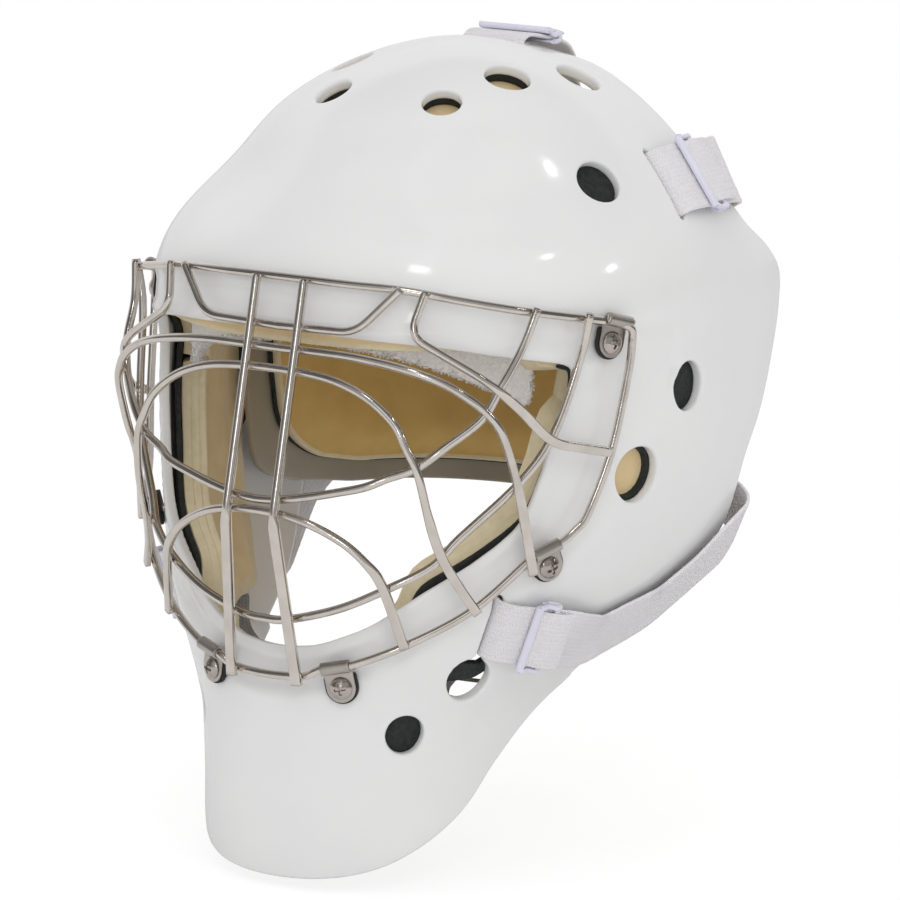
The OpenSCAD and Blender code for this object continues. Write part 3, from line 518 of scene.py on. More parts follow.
def eased(points, normals, reach, step=1.4):
    """Path with rounded corners and its normals, at even steps."""
    p, n = np.asarray(points, float), unit(np.asarray(normals, float))
    q = np.hstack([p, n])
    rows = [q[0]]
    for i in range(1, len(q) - 1):
        la, lb = (np.linalg.norm(p[i + k] - p[i]) for k in (-1, 1))
        a = q[i] + (q[i - 1] - q[i]) * min(reach / la, 0.5)
        b = q[i] + (q[i + 1] - q[i]) * min(reach / lb, 0.5)
        rows += [(1 - u) ** 2 * a + 2 * u * (1 - u) * q[i] + u * u * b
                 for u in np.linspace(0, 1, 9)]
    rows = np.array(rows + [q[-1]])
    s = lengths(rows[:, :3])
    at = np.linspace(0, s[-1], int(s[-1] / step) + 2)
    rows = np.stack([np.interp(at, s, rows[:, k]) for k in range(6)], 1)
    return rows[:, :3], unit(rows[:, 3:])


def ribbon(name, points, normals, width, thick, mat, body=None, reach=6.0, fray=0.12):
    """Woven strap along a path, with its own map in millimetres."""
    path, out = eased(points, normals, reach)
    rng = np.random.default_rng(len(path))
    sec = strap_section(width, thick, min(0.45 * thick, 0.75))
    wobble = 1 + (rng.random((len(path), 2)) - 0.5) * 4 * fray / width
    ends = np.minimum(np.arange(len(path)), np.arange(len(path))[::-1])

    def section(k):
        s = sec.copy()
        s[:, 0] *= np.where(s[:, 0] > 0, wobble[k, 0], wobble[k, 1])
        s[:, 1] *= 0.6 if ends[k] == 0 else 1
        return s

    verts, faces = sweep(path, out, section)
    obj = new_object(name, verts, faces, mat, body, angle=60)
    uv = obj.data.uv_layers.new(name="weave")
    run = np.repeat(lengths(path), len(sec))
    flat = np.stack([np.tile(sec[:, 0], len(path)), run], 1)
    idx = np.empty(len(obj.data.loops), np.int32)
    obj.data.loops.foreach_get("vertex_index", idx)
    uv.data.foreach_set("uv", flat[idx].astype(np.float32).ravel())
    return obj


# Materials
def new_material(name):
    mat = bpy.data.materials.new(name)
    mat.use_nodes = True
    tree = mat.node_tree
    return mat, tree, tree.nodes["Principled BSDF"]


def link(tree, a, b):
    tree.links.new(a, b)


def feed(tree, socket, value):
    """Links a socket to another node's output, or sets it to a plain value."""
    if isinstance(value, bpy.types.NodeSocket):
        link(tree, value, socket)
    else:
        socket.default_value = value


def shader(tree, kind, inputs, **settings):
    n = tree.nodes.new("ShaderNode" + kind)
    for key, value in settings.items():
        setattr(n, key, value)
    for key, value in inputs.items():
        feed(tree, n.inputs[key], value)
    return n


def coords(tree, uv=None):
    if uv:
        return shader(tree, "UVMap", {}, uv_map=uv).outputs[0]
    return shader(tree, "TexCoord", {}).outputs["Object"]


def noise(tree, vec, scale, detail=3.0, rough=0.5):
    return shader(tree, "TexNoise", {"Vector": vec, "Scale": scale, "Detail": detail,
                                     "Roughness": rough}).outputs["Fac"]


def ramp(tree, fac, stops):
    r = shader(tree, "ValToRGB", {0: fac})
    el = r.color_ramp.elements
    while len(el) < len(stops):
        el.new(0.5)
    for e, (pos, col) in zip(el, stops):
        e.position = pos
        e.color = (*col, 1)
    return r.outputs[0]


def map_range(tree, fac, lo, hi, a, b):
    """Maps a to b onto lo to hi."""
    return shader(tree, "MapRange", {"Value": fac, "From Min": a, "From Max": b, "To Min": lo,
                                     "To Max": hi}).outputs[0]


def math_node(tree, op, a, b=0.5):
    return shader(tree, "Math", {0: a, 1: b}, operation=op).outputs[0]


def bump(tree, bsdf, height, distance):
    n = shader(tree, "Bump", {"Strength": 1.0, "Distance": distance, "Height": height})
    link(tree, n.outputs[0], bsdf.inputs["Normal"])


def plain(name, lo, hi, rough=(0.4, 0.5), scale=60.0, metallic=0.0, bump_at=(400.0, 0.0001),
          sheen=0.0, coat=0.0, coat_rough=0.05):
    """A surface whose colour and roughness wander a little, with a fine grain."""
    mat, tree, bsdf = new_material(name)
    vec = coords(tree)
    for key, value in (
            ("Base Color", ramp(tree, noise(tree, vec, scale, 4), [(0.3, lo), (0.7, hi)])),
            ("Roughness", map_range(tree, noise(tree, vec, scale * 2.3), *rough, 0.3, 0.7)),
            ("Metallic", metallic), ("Sheen Weight", sheen), ("Coat Weight", coat),
            ("Coat Roughness", coat_rough)):
        feed(tree, bsdf.inputs[key], value)
    bump(tree, bsdf, noise(tree, vec, bump_at[0], 4), bump_at[1])
    return mat


GEL = plain("gel_coat", (0.80, 0.80, 0.80), (0.84, 0.84, 0.835), rough=(0.10, 0.16), scale=14.0,
            bump_at=(55.0, 0.00006), coat=0.35, coat_rough=0.04)
STEEL = plain("cage_steel", (0.64, 0.59, 0.54), (0.74, 0.69, 0.64), rough=(0.07, 0.12),
              scale=120.0, metallic=1.0, bump_at=(900.0, 0.00003))
CLIP = plain("clip_steel", (0.46, 0.42, 0.385), (0.54, 0.50, 0.465), rough=(0.28, 0.38),
             scale=150.0, metallic=1.0, bump_at=(1500.0, 0.00003))
SCREW = plain("screw_steel", (0.46, 0.41, 0.37), (0.56, 0.51, 0.47), rough=(0.14, 0.24),
              scale=200.0, metallic=1.0, bump_at=(700.0, 0.00003))
RUBBER = plain("rubber", (0.012, 0.012, 0.012), (0.02, 0.02, 0.02), rough=(0.55, 0.7),
               bump_at=(900.0, 0.0001))
BLACK = plain("black_foam", (0.014, 0.017, 0.016), (0.03, 0.034, 0.032), rough=(0.75, 0.9),
              scale=500.0, bump_at=(1300.0, 0.0003))
TAN = plain("tan_foam", (0.72, 0.55, 0.30), (0.79, 0.62, 0.355), rough=(0.7, 0.85), scale=90.0,
            bump_at=(1100.0, 0.00015), sheen=0.15)
# Partly the lining's own tan, partly painted light: darker and more saturated than the tan foam, to
# stand in for warm bounce light in the shade inside the mask.
LINING_TAN_AND_PAINTED_BOUNCE = plain("lining", (0.62, 0.40, 0.12), (0.70, 0.465, 0.155), rough=(0.7, 0.85), scale=70.0,
               bump_at=(1200.0, 0.0001), sheen=0.1)
CREAM = plain("cream_foam", (0.70, 0.60, 0.40), (0.76, 0.66, 0.45), rough=(0.75, 0.9),
              scale=260.0, bump_at=(1400.0, 0.0002))
TERRY = plain("terry", (0.74, 0.70, 0.68), (0.86, 0.83, 0.81), rough=(0.85, 0.95), scale=700.0,
              bump_at=(1100.0, 0.0008), sheen=0.5)
CUP = plain("cup", (0.02, 0.02, 0.02), (0.035, 0.035, 0.035), rough=(0.6, 0.75),
            bump_at=(900.0, 0.0002))
# Painted shade: the back plate's plastic is darkened to a warm grey-brown, the tone it shows in the
# shade inside the mask, lit by warm bounce from the lining; its own colour is lighter.
PLATE_IN_PAINTED_SHADE = plain("plate", (0.31, 0.275, 0.21), (0.36, 0.32, 0.255), rough=(0.32, 0.42), scale=20.0,
              bump_at=(700.0, 0.00005))
NYLON = plain("nylon", (0.72, 0.71, 0.83), (0.78, 0.77, 0.88), rough=(0.3, 0.4), scale=60.0,
              bump_at=(900.0, 0.00005))
SNAP = plain("snap_steel", (0.5, 0.48, 0.46), (0.58, 0.56, 0.54), rough=(0.25, 0.35), scale=200.0,
             metallic=1.0)


def woven(name, lo, hi, ribs, rows):
    """Knit elastic: chevron ribs along the strap, in the strap's own millimetre map."""
    mat, tree, bsdf = new_material(name)

    def calc(op, a, b=0.5):
        return math_node(tree, op, a, b)

    vec = coords(tree, uv="weave")
    x, y = shader(tree, "SeparateXYZ", {0: vec}).outputs[:2]
    up = calc("ADD", y, calc("MULTIPLY", calc("PINGPONG", x, ribs), 0.7))
    row = calc("SINE", calc("MULTIPLY", up, 2 * math.pi / rows))
    rib = calc("SINE", calc("MULTIPLY", x, 2 * math.pi / ribs))
    fuzz = noise(tree, vec, 3.2, 5, 0.7)
    h = calc("ADD", calc("MULTIPLY", row, 0.35), calc("MULTIPLY", rib, 0.2))
    h = calc("ADD", h, calc("MULTIPLY", fuzz, 1.4))
    # Base colour follows the bump's height h: painted shade, darker wherever the knit sinks between
    # ribs, rows and fuzz, which also gives it a mottle.
    painted_hollow_shade = ramp(tree, map_range(tree, h, 0.0, 1.0, -0.2, 1.6), [(0.1, lo), (0.8, hi)])
    for key, value in (("Base Color", painted_hollow_shade), ("Roughness", 0.85), ("Sheen Weight", 0.4),
                       ("Specular IOR Level", 0.25)):
        feed(tree, bsdf.inputs[key], value)
    bump(tree, bsdf, h, 0.00035)
    return mat


ELASTIC = woven("elastic", (0.93, 0.89, 0.93), (1.0, 0.98, 1.0), 1.9, 1.1)
WEBBING = woven("webbing", (0.16, 0.15, 0.145), (0.32, 0.30, 0.29), 2.4, 1.5)

# The shell as a fine grid: columns at even steps round it, rows at even steps up it
PORT = [[0, -4], [11, -4.5], [28, -6.5], [36, -8.5], [42.5, -10.5], [49, -12.5], [54.5, -14.5],
        [56.8, -17], [57.5, -21], [57, -28], [55.5, -37], [54, -45], [52.8, -56], [51.5, -65],
        [50.5, -72], [49, -78.5], [46.5, -83.5], [43, -89], [38, -96], [30, -106], [21, -118],
        [14, -124], [7, -128.5], [0, -130]]
RIM = [[-226, -122], [-219, -97], [-211, -80], [-196, -57], [-178, -40], [-158, -15], [-137, 25],
       [-111, 58], [-98, 67], [-71, 73], [-52, 84], [-29, 95], [-7, 104], [4, 105], [14, 97],
       [28, 80], [54, 68], [70, 68], [80, 72], [92, 86], [102, 92]]
VENTS = [[26, 82, 8], [58, 89.5, 9.5], [99, 86.5, 9.5], [72.5, 53, 9.5], [87, -31.5, 10],
         [75, -63.5, 11.5], [53.5, -143, 9.5], [42, -164.5, 8]]
STRAP_W, LOWER_W, STRAP_T, STRAP_LIFT, SLOT_H, SLIDER_L = 30, 26, 1.6, 3.2, 4, 11
EDGE_R = 1.1
# Share by which the wall grows at its openings, and how far from the edge
LIP, LIP_REACH = 0.42, 4
# The port's band: its set-back, the rib left in it, and the cheeks' own set-back
BAND_DIP, RIB_AT, RIB_HALF, CHEEK_DIP = 1.7, 4.2, 2.2, 2.2
# How far along its axis a vent or a strap slot cuts
VENT_DEPTH, SLOT_DEPTH = 20, 12


def cheek(z):
    """1 beside the cheeks, where the band round the port lies deeper."""
    return smoothstep(-14, -30, z) * smoothstep(-130, -106, z)


port_half = np.array([shell_point(t, z)[[0, 2]] for t, z in PORT])
port_half[:, 0] -= 2.3 * cheek(port_half[:, 1])
port_loop = np.vstack([port_half, port_half[-2:0:-1] * [-1, 1]])
port_loop = spline(port_loop, 8, closed=True)


def port_distance(x, z):
    """Distance to the eye port's edge seen along Y, positive in the opening."""
    return loop_distance(x, z, port_loop)


temple_n = shell_normal(91, 48)
temple_start = shell_point(91, 48)
temple_along = np.array([-0.08, 1, -0.12])
temple_along = unit(temple_along - temple_n * (temple_along @ temple_n))
lower_n = shell_normal(50.5, -121)
lower_start = shell_point(50.5, -121)
lower_along = np.array([0.28, 1, -0.1])
lower_along = unit(lower_along - lower_n * (lower_along @ lower_n))
crown_n, crown_along = unit([0, 0.22, 1]), unit([0, 1, -0.22])
crown_start = np.array([0, 54, CROWN - 3.0])
SITES = [[66.5, -7, [0.28, 1]], [56.8, -95.2, [-0.38, 0.92]], [18, -143.8, [-0.2, 1]]]

STRAPS = ((temple_start, temple_n, np.cross(temple_along, temple_n), STRAP_W),
          (lower_start, lower_n, np.cross(lower_along, lower_n), LOWER_W),
          (crown_start, crown_n, np.array([1.0, 0, 0]), STRAP_W))
slots = [(start * m, n * m, across * m, width)
         for start, n, across, width in STRAPS for m in ([np.ones(3), FLIP] if start[0] else [1])]
vents = [(shell_point(t, z), shell_normal(t, z), r) for t, z, r in VENTS]
holes = [(c * m, n * m, r) for c, n, r in vents for m in (np.ones(3), FLIP)]


def cut_field(p):
    """Positive where the shell is cut away; near an edge, about the distance from it."""
    x, y, z = p[..., 0], p[..., 1], p[..., 2]
    zz = z + 3 * np.clip((-z - 150) / 3, 0, 1)
    rim = curve(RIM, zz)
    slope = curve(RIM, zz + 0.5) - curve(RIM, zz - 0.5)
    f = (y - rim) / np.sqrt(1 + slope**2)
    f = np.maximum(f, -CHIN_DEPTH - z)
    f = np.maximum(f, np.where(y < 0, port_distance(x, z), -99))
    for c, n, r in holes:
        q = p - c
        h = q @ n
        d = np.linalg.norm(q - h[..., None] * n, axis=-1)
        f = np.maximum(f, np.where(np.abs(h) < VENT_DEPTH, r - d, -99))
    for c, n, across, width in slots:
        q = p - c
        h, a = q @ n, q @ across
        b = q @ np.cross(n, across)
        d = np.hypot(np.maximum(np.abs(a) - (width + 3 - SLOT_H) / 2, 0), b)
        f = np.maximum(f, np.where(np.abs(h) < SLOT_DEPTH, SLOT_H / 2 - d, -99))
    return f


def shell_grid(step):
    fine = np.linspace(0, 180, 3601)
    ring = shell_point(fine, -20.0)
    s = lengths(ring)
    front = np.interp(118, fine, s)
    at = np.concatenate([np.arange(0, front, step),
                         np.linspace(front, s[-1], int((s[-1] - front) / (2 * step)))])
    half = np.interp(at, s, fine)
    cols = np.concatenate([-half[-2:0:-1], half])
    low = np.linspace(-236, 0, int(236 / step), endpoint=False)
    rise = np.linspace(0, 90, int(165 / step), endpoint=False)
    rows = np.concatenate([low, CROWN * np.sin(np.radians(rise))])
    return np.meshgrid(cols, rows)


def build_shell():
    th, z = shell_grid(2.3)
    p = shell_point(th, z, soft=12.0)
    p = blur(blur(p, 2.0, 0, False), 1.5, 1, True)
    n = grid_normals(p, wrap=True)
    # The band round the port is set back, with a soft rib near the opening
    d = -port_distance(p[..., 0], p[..., 2])
    dip = BAND_DIP * smoothstep(20, 15, d) * (1 - 0.75 * bell((d - RIB_AT) / RIB_HALF))
    dip = dip + CHEEK_DIP * smoothstep(15, 2, d) * cheek(p[..., 2])
    front = p[..., 1] < 10
    p = p - n * np.where(front, dip, 0)[..., None]
    n = grid_normals(p, wrap=True)
    # Thicker at the port's lip and round the vents
    lip = LIP * bell(d / LIP_REACH) * front
    for c, m, r in holes:
        q = p - c
        h = q @ m
        off_axis = np.linalg.norm(q - h[..., None] * m, axis=-1)
        grown = LIP * bell((off_axis - r) / LIP_REACH)
        lip = np.maximum(lip, np.where(np.abs(h) < VENT_DEPTH, grown, 0))
    top = np.array([0, 30.0, p[-1, :, 2].max() + 0.15])
    v, f, _ = cut_solid(p, -n * (WALL * (1 + lip))[..., None], cut_field,
                        edge_profile(WALL, EDGE_R, EDGE_R), wrap=True,
                        apex=(top, np.array([0, 0, -WALL])))
    shell = new_object("shell_skin", v, f, GEL)
    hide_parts("shell")


build_shell()

# The cage
WIRE_R, BAR_R, WELD = 1.7, 1.9, 0.3
CLIP_T, CLIP_GAP, CLIP_W, CLIP_REACH, PAD_T = 0.9, 0.1, 12, 9, 2
CLIP_R = WIRE_R + CLIP_T + CLIP_GAP
WIRE_LIFT = PAD_T + CLIP_R + CLIP_GAP


def site_frame(s):
    n = shell_normal(s[0], s[1])
    side = unit(np.cross([0, 0, 1], n))
    up = unit(s[2][0] * side + s[2][1] * np.cross(n, side))
    return shell_point(s[0], s[1]), np.cross(up, n), up, n


def site_run(s, k):
    p, along, up, n = site_frame(s)
    wire = p + n * WIRE_LIFT + up * CLIP_REACH
    return [wire - along * e * k * (CLIP_W / 2 + 0.5) for e in (1, -1)]


TOP = [[0, 18, 3.7], [11.5, 17.5, 3.8], [22.5, 16.5, 3.9], [36, 12.5, 4.2], [49.5, 8, 4.4]]
SIDE = [[69.5, -20, 5.4], [66, -50, 5.2], [62.5, -74.5, 5.2], [60.5, -80.5, 5.2]]
rim_half = ([wire_point(r) for r in TOP] + site_run(SITES[0], -1)
            + [wire_point(r) for r in ([70.2, -1, 6], [70.6, -6, 6])]
            + [wire_point(r) for r in SIDE] + site_run(SITES[1], -1)
            + [wire_point(r) for r in ([43, -110.5, 5.2], [31, -125, 5])]
            + site_run(SITES[2], -1)
            + [wire_point(r) for r in ([8, -140, 4.6], [0, -141, 4.6])])
rim_points = np.vstack([rim_half, np.array(rim_half[-2:0:-1]) * FLIP])
BROW_BAR = [[27, 17, 7.4, 0], [24, 0, 6.9, 7], [42.5, -21, 14.7, 16], [52.5, -43.5, 8.1, 8],
            [65.5, -50, 6.9, 0]]
U_BAR = [[22, 17.5, 7.2, 0], [13.5, -0.2, 6.1, 7], [0, -1, 3.6, 0]]
SAG_UPPER = [[49.5, 10.5, 8.2], [46.5, -4.5, 7.1], [42, -19, 11.1], [38.5, -31.5, 12.8],
             [32, -42.5, 14.6], [27, -51, 14.7], [22, -55.5, 14.2], [15.5, -61, 15.2],
             [0, -68.5, 15]]
SAG_LOWER = [[60.5, 7, 8.8], [59, -11.5, 4.5], [53.5, -40.5, 4.6], [47, -59.5, 5], [36, -81.5, 5],
             [31.5, -92, 6.6], [23.5, -101, 7.4], [14, -110.5, 7.3], [4, -117, 7.1],
             [0, -118, 7.1]]
ARC_OUTER = [[53, -97, 8], [48.5, -73, 6.9], [45, -52.5, 11.4], [42, -36.5, 14.9],
             [39, -28.5, 15.4], [36, -23.5, 15.2], [31, -17.5, 13.8], [23.5, -12.5, 11.6],
             [12.5, -9.5, 7.6], [0, -9.5, 5.2]]
ARC_MIDDLE = [[44, -111.5, 8.8], [38, -100.5, 7.4], [33, -87, 10], [30, -71, 14.8],
              [27.5, -53, 17.4], [25, -42.5, 17], [22.5, -33.5, 15.4], [17.5, -25, 12.8],
              [12, -20, 10.4], [6.5, -18, 8], [0, -17.5, 6.5]]
ARC_INNER = [[31, -125.5, 8.2], [22.5, -100, 11.1], [19, -90.5, 12.9], [14, -82, 13.6],
             [7, -75, 15.2], [0, -72.5, 16.5]]


def outward_of(path):
    """Away from the head's middle line at each point, a little towards the front."""
    w = curve(WIDEST_Y, np.minimum(path[:, 2], 0))
    return unit(np.stack([path[:, 0], path[:, 1] - w, np.zeros(len(path))], 1))


def bent(points, bends, n):
    """Straight lengths with rounded bends of the given lengths."""
    out = []
    for i, q in enumerate(bends):
        if q <= 0:
            out.append(points[i])
            continue
        a = points[i] + unit(points[i - 1] - points[i]) * q
        b = points[i] + unit(points[i + 1] - points[i]) * q
        for k in range(n + 1):
            t = k / n
            out.append((1 - t) ** 2 * a + 2 * t * (1 - t) * points[i] + t**2 * b)
    return np.array(out)


def two_sided(half):
    half = np.asarray(half)
    return np.vstack([half, half[-2::-1] * FLIP])


def hung(rows, step):
    """A smooth wire through rows of one side, and on through their mirror image."""
    return resample(spline(two_sided([wire_point(r) for r in rows]), 8), step)


def bent_wire(rows, n):
    return bent([wire_point(r) for r in rows], [r[3] for r in rows], n)


wires = {"cage_rim": [(resample(spline(rim_points, 10, True), 2.0, True), WIRE_R, None)],
         "cage_sag_upper": [(hung(SAG_UPPER, 2.0), WIRE_R, None)],
         "cage_sag_lower": [(hung(SAG_LOWER, 2.0), WIRE_R, None)],
         "cage_u_bar": [(resample(two_sided(bent_wire(U_BAR, 10)), 1.5), WIRE_R, None)]}


def flat_ends(path, z_top, z_flat):
    """1 where the wire is pressed flat: below z_flat, growing from z_top."""
    return smoothstep(z_top, z_flat, path[:, 2])


for name, rows, z0, z1 in (("cage_arc_outer", ARC_OUTER, -56, -64),
                           ("cage_arc_middle", ARC_MIDDLE, -66, -76),
                           ("cage_arc_inner", ARC_INNER, -88, -96)):
    path = hung(rows, 1.6)
    wires[name] = [(path, WIRE_R, flat_ends(path, z0, z1))]
path = resample(bent_wire(BROW_BAR, 12), 1.5)
press = flat_ends(path, -16, -25)
wires["cage_brow_bars"] = [(path, WIRE_R, press), (path * FLIP, WIRE_R, press)]

layer = WIRE_R + BAR_R - WELD
BAR_X, FOOT_OUT, BEND_L, NOSE_LIFT = 11.3, 4.5, 5, 20.5
bar_top, bar_bend = wire_point([5, 18.5, 3.7 + layer]), wire_point([4, -75, NOSE_LIFT])
bar_foot = wire_point([9, -143, 4.6 + layer])
bar = [np.array([BAR_X, bar_top[1], bar_top[2]]), np.array([BAR_X, bar_bend[1], bar_bend[2]]),
       np.array([BAR_X + FOOT_OUT, bar_foot[1], bar_foot[2]])]
path = resample(bent(bar, [0, BEND_L, 0], 12), 1.6)
press = flat_ends(path, -72, -79)
wires["cage_centre_bars"] = [(path, BAR_R, press), (path * FLIP, BAR_R, press)]

for name, rods in wires.items():
    pile = Pile()
    for path, r, press in rods:
        def section(k, r=r, press=press):
            return round_section(r) if press is None else flat_section(r, press[k])
        pile.add(*sweep(path, outward_of(path), section, closed=name == "cage_rim"))
    obj = pile.object(name + "_wire", STEEL)
    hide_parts(name)

# Clips, their rubber pads, screws and nuts
def at_sites(verts, faces):
    pile = Pile()
    for s in SITES:
        o, x, y, z = site_frame(s)
        pile.add(placed(verts, o, x, y, z), faces)
    return pile.mirror()


def clip_form():
    """Sheet strip: a tab with a round end, then a tube round the wire."""
    mid = PAD_T + CLIP_GAP + CLIP_T / 2
    r = CLIP_R - CLIP_T / 2
    turn = np.radians(np.linspace(-90, 222, 34))
    tab = [[0, y, mid] for y in np.concatenate([-6 + 6 * (1 - np.cos(np.radians(
        np.linspace(4, 90, 12)))), [2, 4, 6, 7.5]])]
    tube = [[0, CLIP_REACH + r * math.cos(a), WIRE_LIFT + r * math.sin(a)] for a in turn]
    path = np.array(tab + tube)
    t = unit(np.gradient(path, axis=0))
    out = np.cross([1.0, 0, 0], t)
    half = [math.sqrt(max(36 - p[1] ** 2, 0.3)) if k < 12 else 6 for k, p in enumerate(path)]
    return sweep(path, out, lambda k: strap_section(2 * half[k], CLIP_T, 0.2))


def screw_form(radius, height, seat, shank, reach, ball=6.0):
    """Domed head with a cross recess, over a plain shank."""
    rings = np.concatenate([np.linspace(0.08, 2.7, 30),
                            np.linspace(2.9, radius - 0.15, 7)])
    sides = 96
    a = np.arange(sides) * 2 * math.pi / sides
    rr, aa = np.meshgrid(rings, a, indexing="ij")
    x, y = rr * np.cos(aa), rr * np.sin(aa)
    top = height - ball + np.sqrt(ball**2 - rr**2)
    dip = np.zeros_like(x)
    for u, v in ((x, y), (y, x)):
        wing = smoothstep(0.62, 0.42, np.abs(v)) * smoothstep(2.45, 2.1, np.abs(u))
        dip = np.maximum(dip, wing * (1.5 - 0.32 * np.abs(u)))
    z = seat + np.maximum(top - dip, 0.2)
    rows = [np.stack([x[k], y[k], z[k]], 1) for k in range(len(rings))]
    edge = seat + height - ball + math.sqrt(ball**2 - radius**2)
    for r, h in ((radius - 0.03, edge + 0.02), (radius, edge - 0.12), (radius, seat + 0.1),
                 (radius - 0.1, seat), (shank, seat), (shank, -reach + 0.4), (shank - 0.4, -reach)):
        rows.append(np.stack([r * np.cos(a), r * np.sin(a), np.full(sides, h)], 1))
    n = len(rows)
    faces = grid_faces(n, sides, wrap_cols=True, flip=True)
    faces += [list(range(sides)), list(range((n - 1) * sides, n * sides))[::-1]]
    return np.vstack(rows), faces


def pad_form():
    wide = CLIP_W / 2 + 0.8
    a = np.radians(np.linspace(180, 360, 25))
    loop = [[wide * math.cos(q), wide * math.sin(q)] for q in a]
    far = CLIP_REACH - 3.5
    loop += [[wide, far - 1.2], [wide - 0.35, far - 0.35], [wide - 1.2, far]]
    loop += [[-wide + 1.2, far], [-wide + 0.35, far - 0.35], [-wide, far - 1.2]]
    return slab(loop, CLIP_GAP, PAD_T, 0.45)


SCREW_D, LINER_T = 4, 5
at_sites(*clip_form()).object("clips", CLIP, angle=40)
at_sites(*pad_form()).object("clip_pad_rubber", RUBBER, angle=40)
at_sites(*screw_form(4.6, 2.6, PAD_T + CLIP_T + 2 * CLIP_GAP, SCREW_D / 2, WALL + LINER_T - 1)) \
    .object("clip_screw_heads", SCREW, angle=35)
hexagon = [[3.6 * math.cos(q), 3.6 * math.sin(q)] for q in np.radians(np.arange(0, 360, 12))]
hexagon = [np.array(h) / max(abs(math.cos(math.radians(k * 12 % 60 - 30))), 0.87) * 0.87
           for k, h in enumerate(hexagon)]
nuts = at_sites(*slab([[6 * math.cos(q), 6 * math.sin(q)] for q in
                       np.radians(np.arange(0, 360, 9))], -WALL - 2, -WALL - 1, 0.2))
nuts2 = at_sites(*slab(hexagon, -WALL - 4.6, -WALL - 1.8, 0.15))
nuts.add(np.vstack(nuts2.v), nuts2.f)
nuts.object("clip_nut_forms", SCREW, angle=30)
for piece, node, slot in (("clips", "cage_clips", "clips"),
                          ("clip_pad_rubber", "clip_pads", "rubber"),
                          ("clip_screw_heads", "clip_screws", "screws"),
                          ("clip_nut_forms", "clip_nuts", "screws")):
    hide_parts(node)

# Padding: die-cut foam, each piece cut to its outline and rounded over
LINER_IN, LINER_THICK, PAD_IN, PAD_THICK = 4.3, 3.0, 7.4, 10
SIDE_PAD_THICK = 14
LINER_FRONT = [[-145, 34], [-134, 24], [-120, 20.5], [-106, 29.5], [-96, 37], [-89, 42], [-83, 46],
               [-72, 50], [-56, 52], [-45, 53], [-28, 56.5], [-18, 59], [16, 62]]
LINER_BACK = [[-145, 56], [-138, 61], [-132, 67], [-122, 77], [-110, 82], [-80, 88], [-45, 97],
              [-10, 97], [16, 90]]


def vent_cut(t, z, r):
    c, n = shell_point(t, z), shell_normal(t, z)

    def cut(p):
        q = p - c
        h = q @ n
        return np.where(np.abs(h) < 15, r - np.linalg.norm(q - h[:, None] * n, axis=1), -99)
    return cut


def nut_cut(s):
    return vent_cut(s[0], s[1], 7)


def bar_cut(p):
    q = p - lower_start
    a, b = np.abs(q @ np.cross(lower_along, lower_n)), np.abs(q @ lower_along)
    return np.where(np.abs(q @ lower_n) < 20, np.minimum((LOWER_W + 11) / 2 - a, 6 - b), -99)


# The pads' retreat from the port at the bottom, and how far their front edges run into it
LOW_RETREAT, FORWARD = 9, 14


def near_front(th, z):
    """1 at a side pad's front edge and in front of it, falling off to the rear."""
    return bell(np.maximum(th - curve(LINER_FRONT, z), 0) / 11)


def thin_ends(at, front):
    """Scale that thins a side pad towards its rear and front edges."""
    return lambda th, z: ((1 - 0.42 * smoothstep(at - 13, at - 2, th))
                          * (1 - (1 - front) * near_front(th, z)))


def under_lip(depth):
    """Offset that takes a pad's front in under the thick lip of the port."""
    return lambda th, z: depth * near_front(th, z) * cheek(z)


def port_cut(reach):
    """Cuts a pad along the eye port, so that it reaches this far in, and less at the bottom."""
    return lambda q: (port_distance(q[:, 0], q[:, 2]) - reach
                      + LOW_RETREAT * smoothstep(-102, -124, q[:, 2]))


def forward(table):
    """A front edge moved on into the opening, for port_cut to trim."""
    return [[z, t - FORWARD * smoothstep(-132, -120, z) * smoothstep(-14, -26, z)]
            for z, t in table]


def side_pads(mirror):
    """Liner, temple and cheek pad of one side. The sides differ only as fitted to the photo."""
    side = "right" if mirror else "left"
    # How far the liner and the pads reach into the port, the slant of their edges, the low end
    black, cream, slant, low = (0.6, 1.8, 3.5, -132) if mirror else (3.3, 3.9, 7.5, -122)
    holes = (nut_cut(SITES[0]), nut_cut(SITES[1]), bar_cut, vent_cut(75, -63.5, 10.2))
    pad("liner_foam_" + side, "liner_" + side, shell_point,
        outline(forward(LINER_FRONT), LINER_BACK, -144, 16, 40), LINER_IN + 0.4, LINER_THICK,
        [BLACK] * 3, edge_profile(LINER_THICK, 0.6, 0.6, lean=0.3), slot="black_foam",
        mirror=mirror, sigma=2.5, bulge=thin_ends(92, 0.7), cuts=holes + (port_cut(black),),
        sink=under_lip(4.8))
    pad("temple_foam_" + side, "temple_pad_" + side, shell_point,
        outline([[-34, 50], [-20, 50], [14, 56]], [[-34, 84], [14, 84]], -34, 14), PAD_IN,
        SIDE_PAD_THICK, [TAN, CREAM, TAN],
        edge_profile(SIDE_PAD_THICK, 0.6, 1.2, (5.0,), lean=slant / 2), slot="tan_foam",
        mirror=mirror, sigma=1.6, bulge=thin_ends(84, 0.7), cuts=(port_cut(cream),),
        sink=under_lip(4.6))
    pad("cheek_foam_" + side, "cheek_pad_" + side, shell_point,
        outline(forward(LINER_FRONT), [[-130, 75], [-110, 81], [-36, 84]], low, -36.5, 40),
        PAD_IN, SIDE_PAD_THICK, [TAN, CREAM, TAN],
        edge_profile(SIDE_PAD_THICK, 0.6, 1.4, (5.0, 9.5), 0.4, lean=slant), slot="tan_foam",
        mirror=mirror, sigma=2.2, bulge=thin_ends(84, 0.6), cuts=(port_cut(cream),),
        sink=under_lip(4.6))


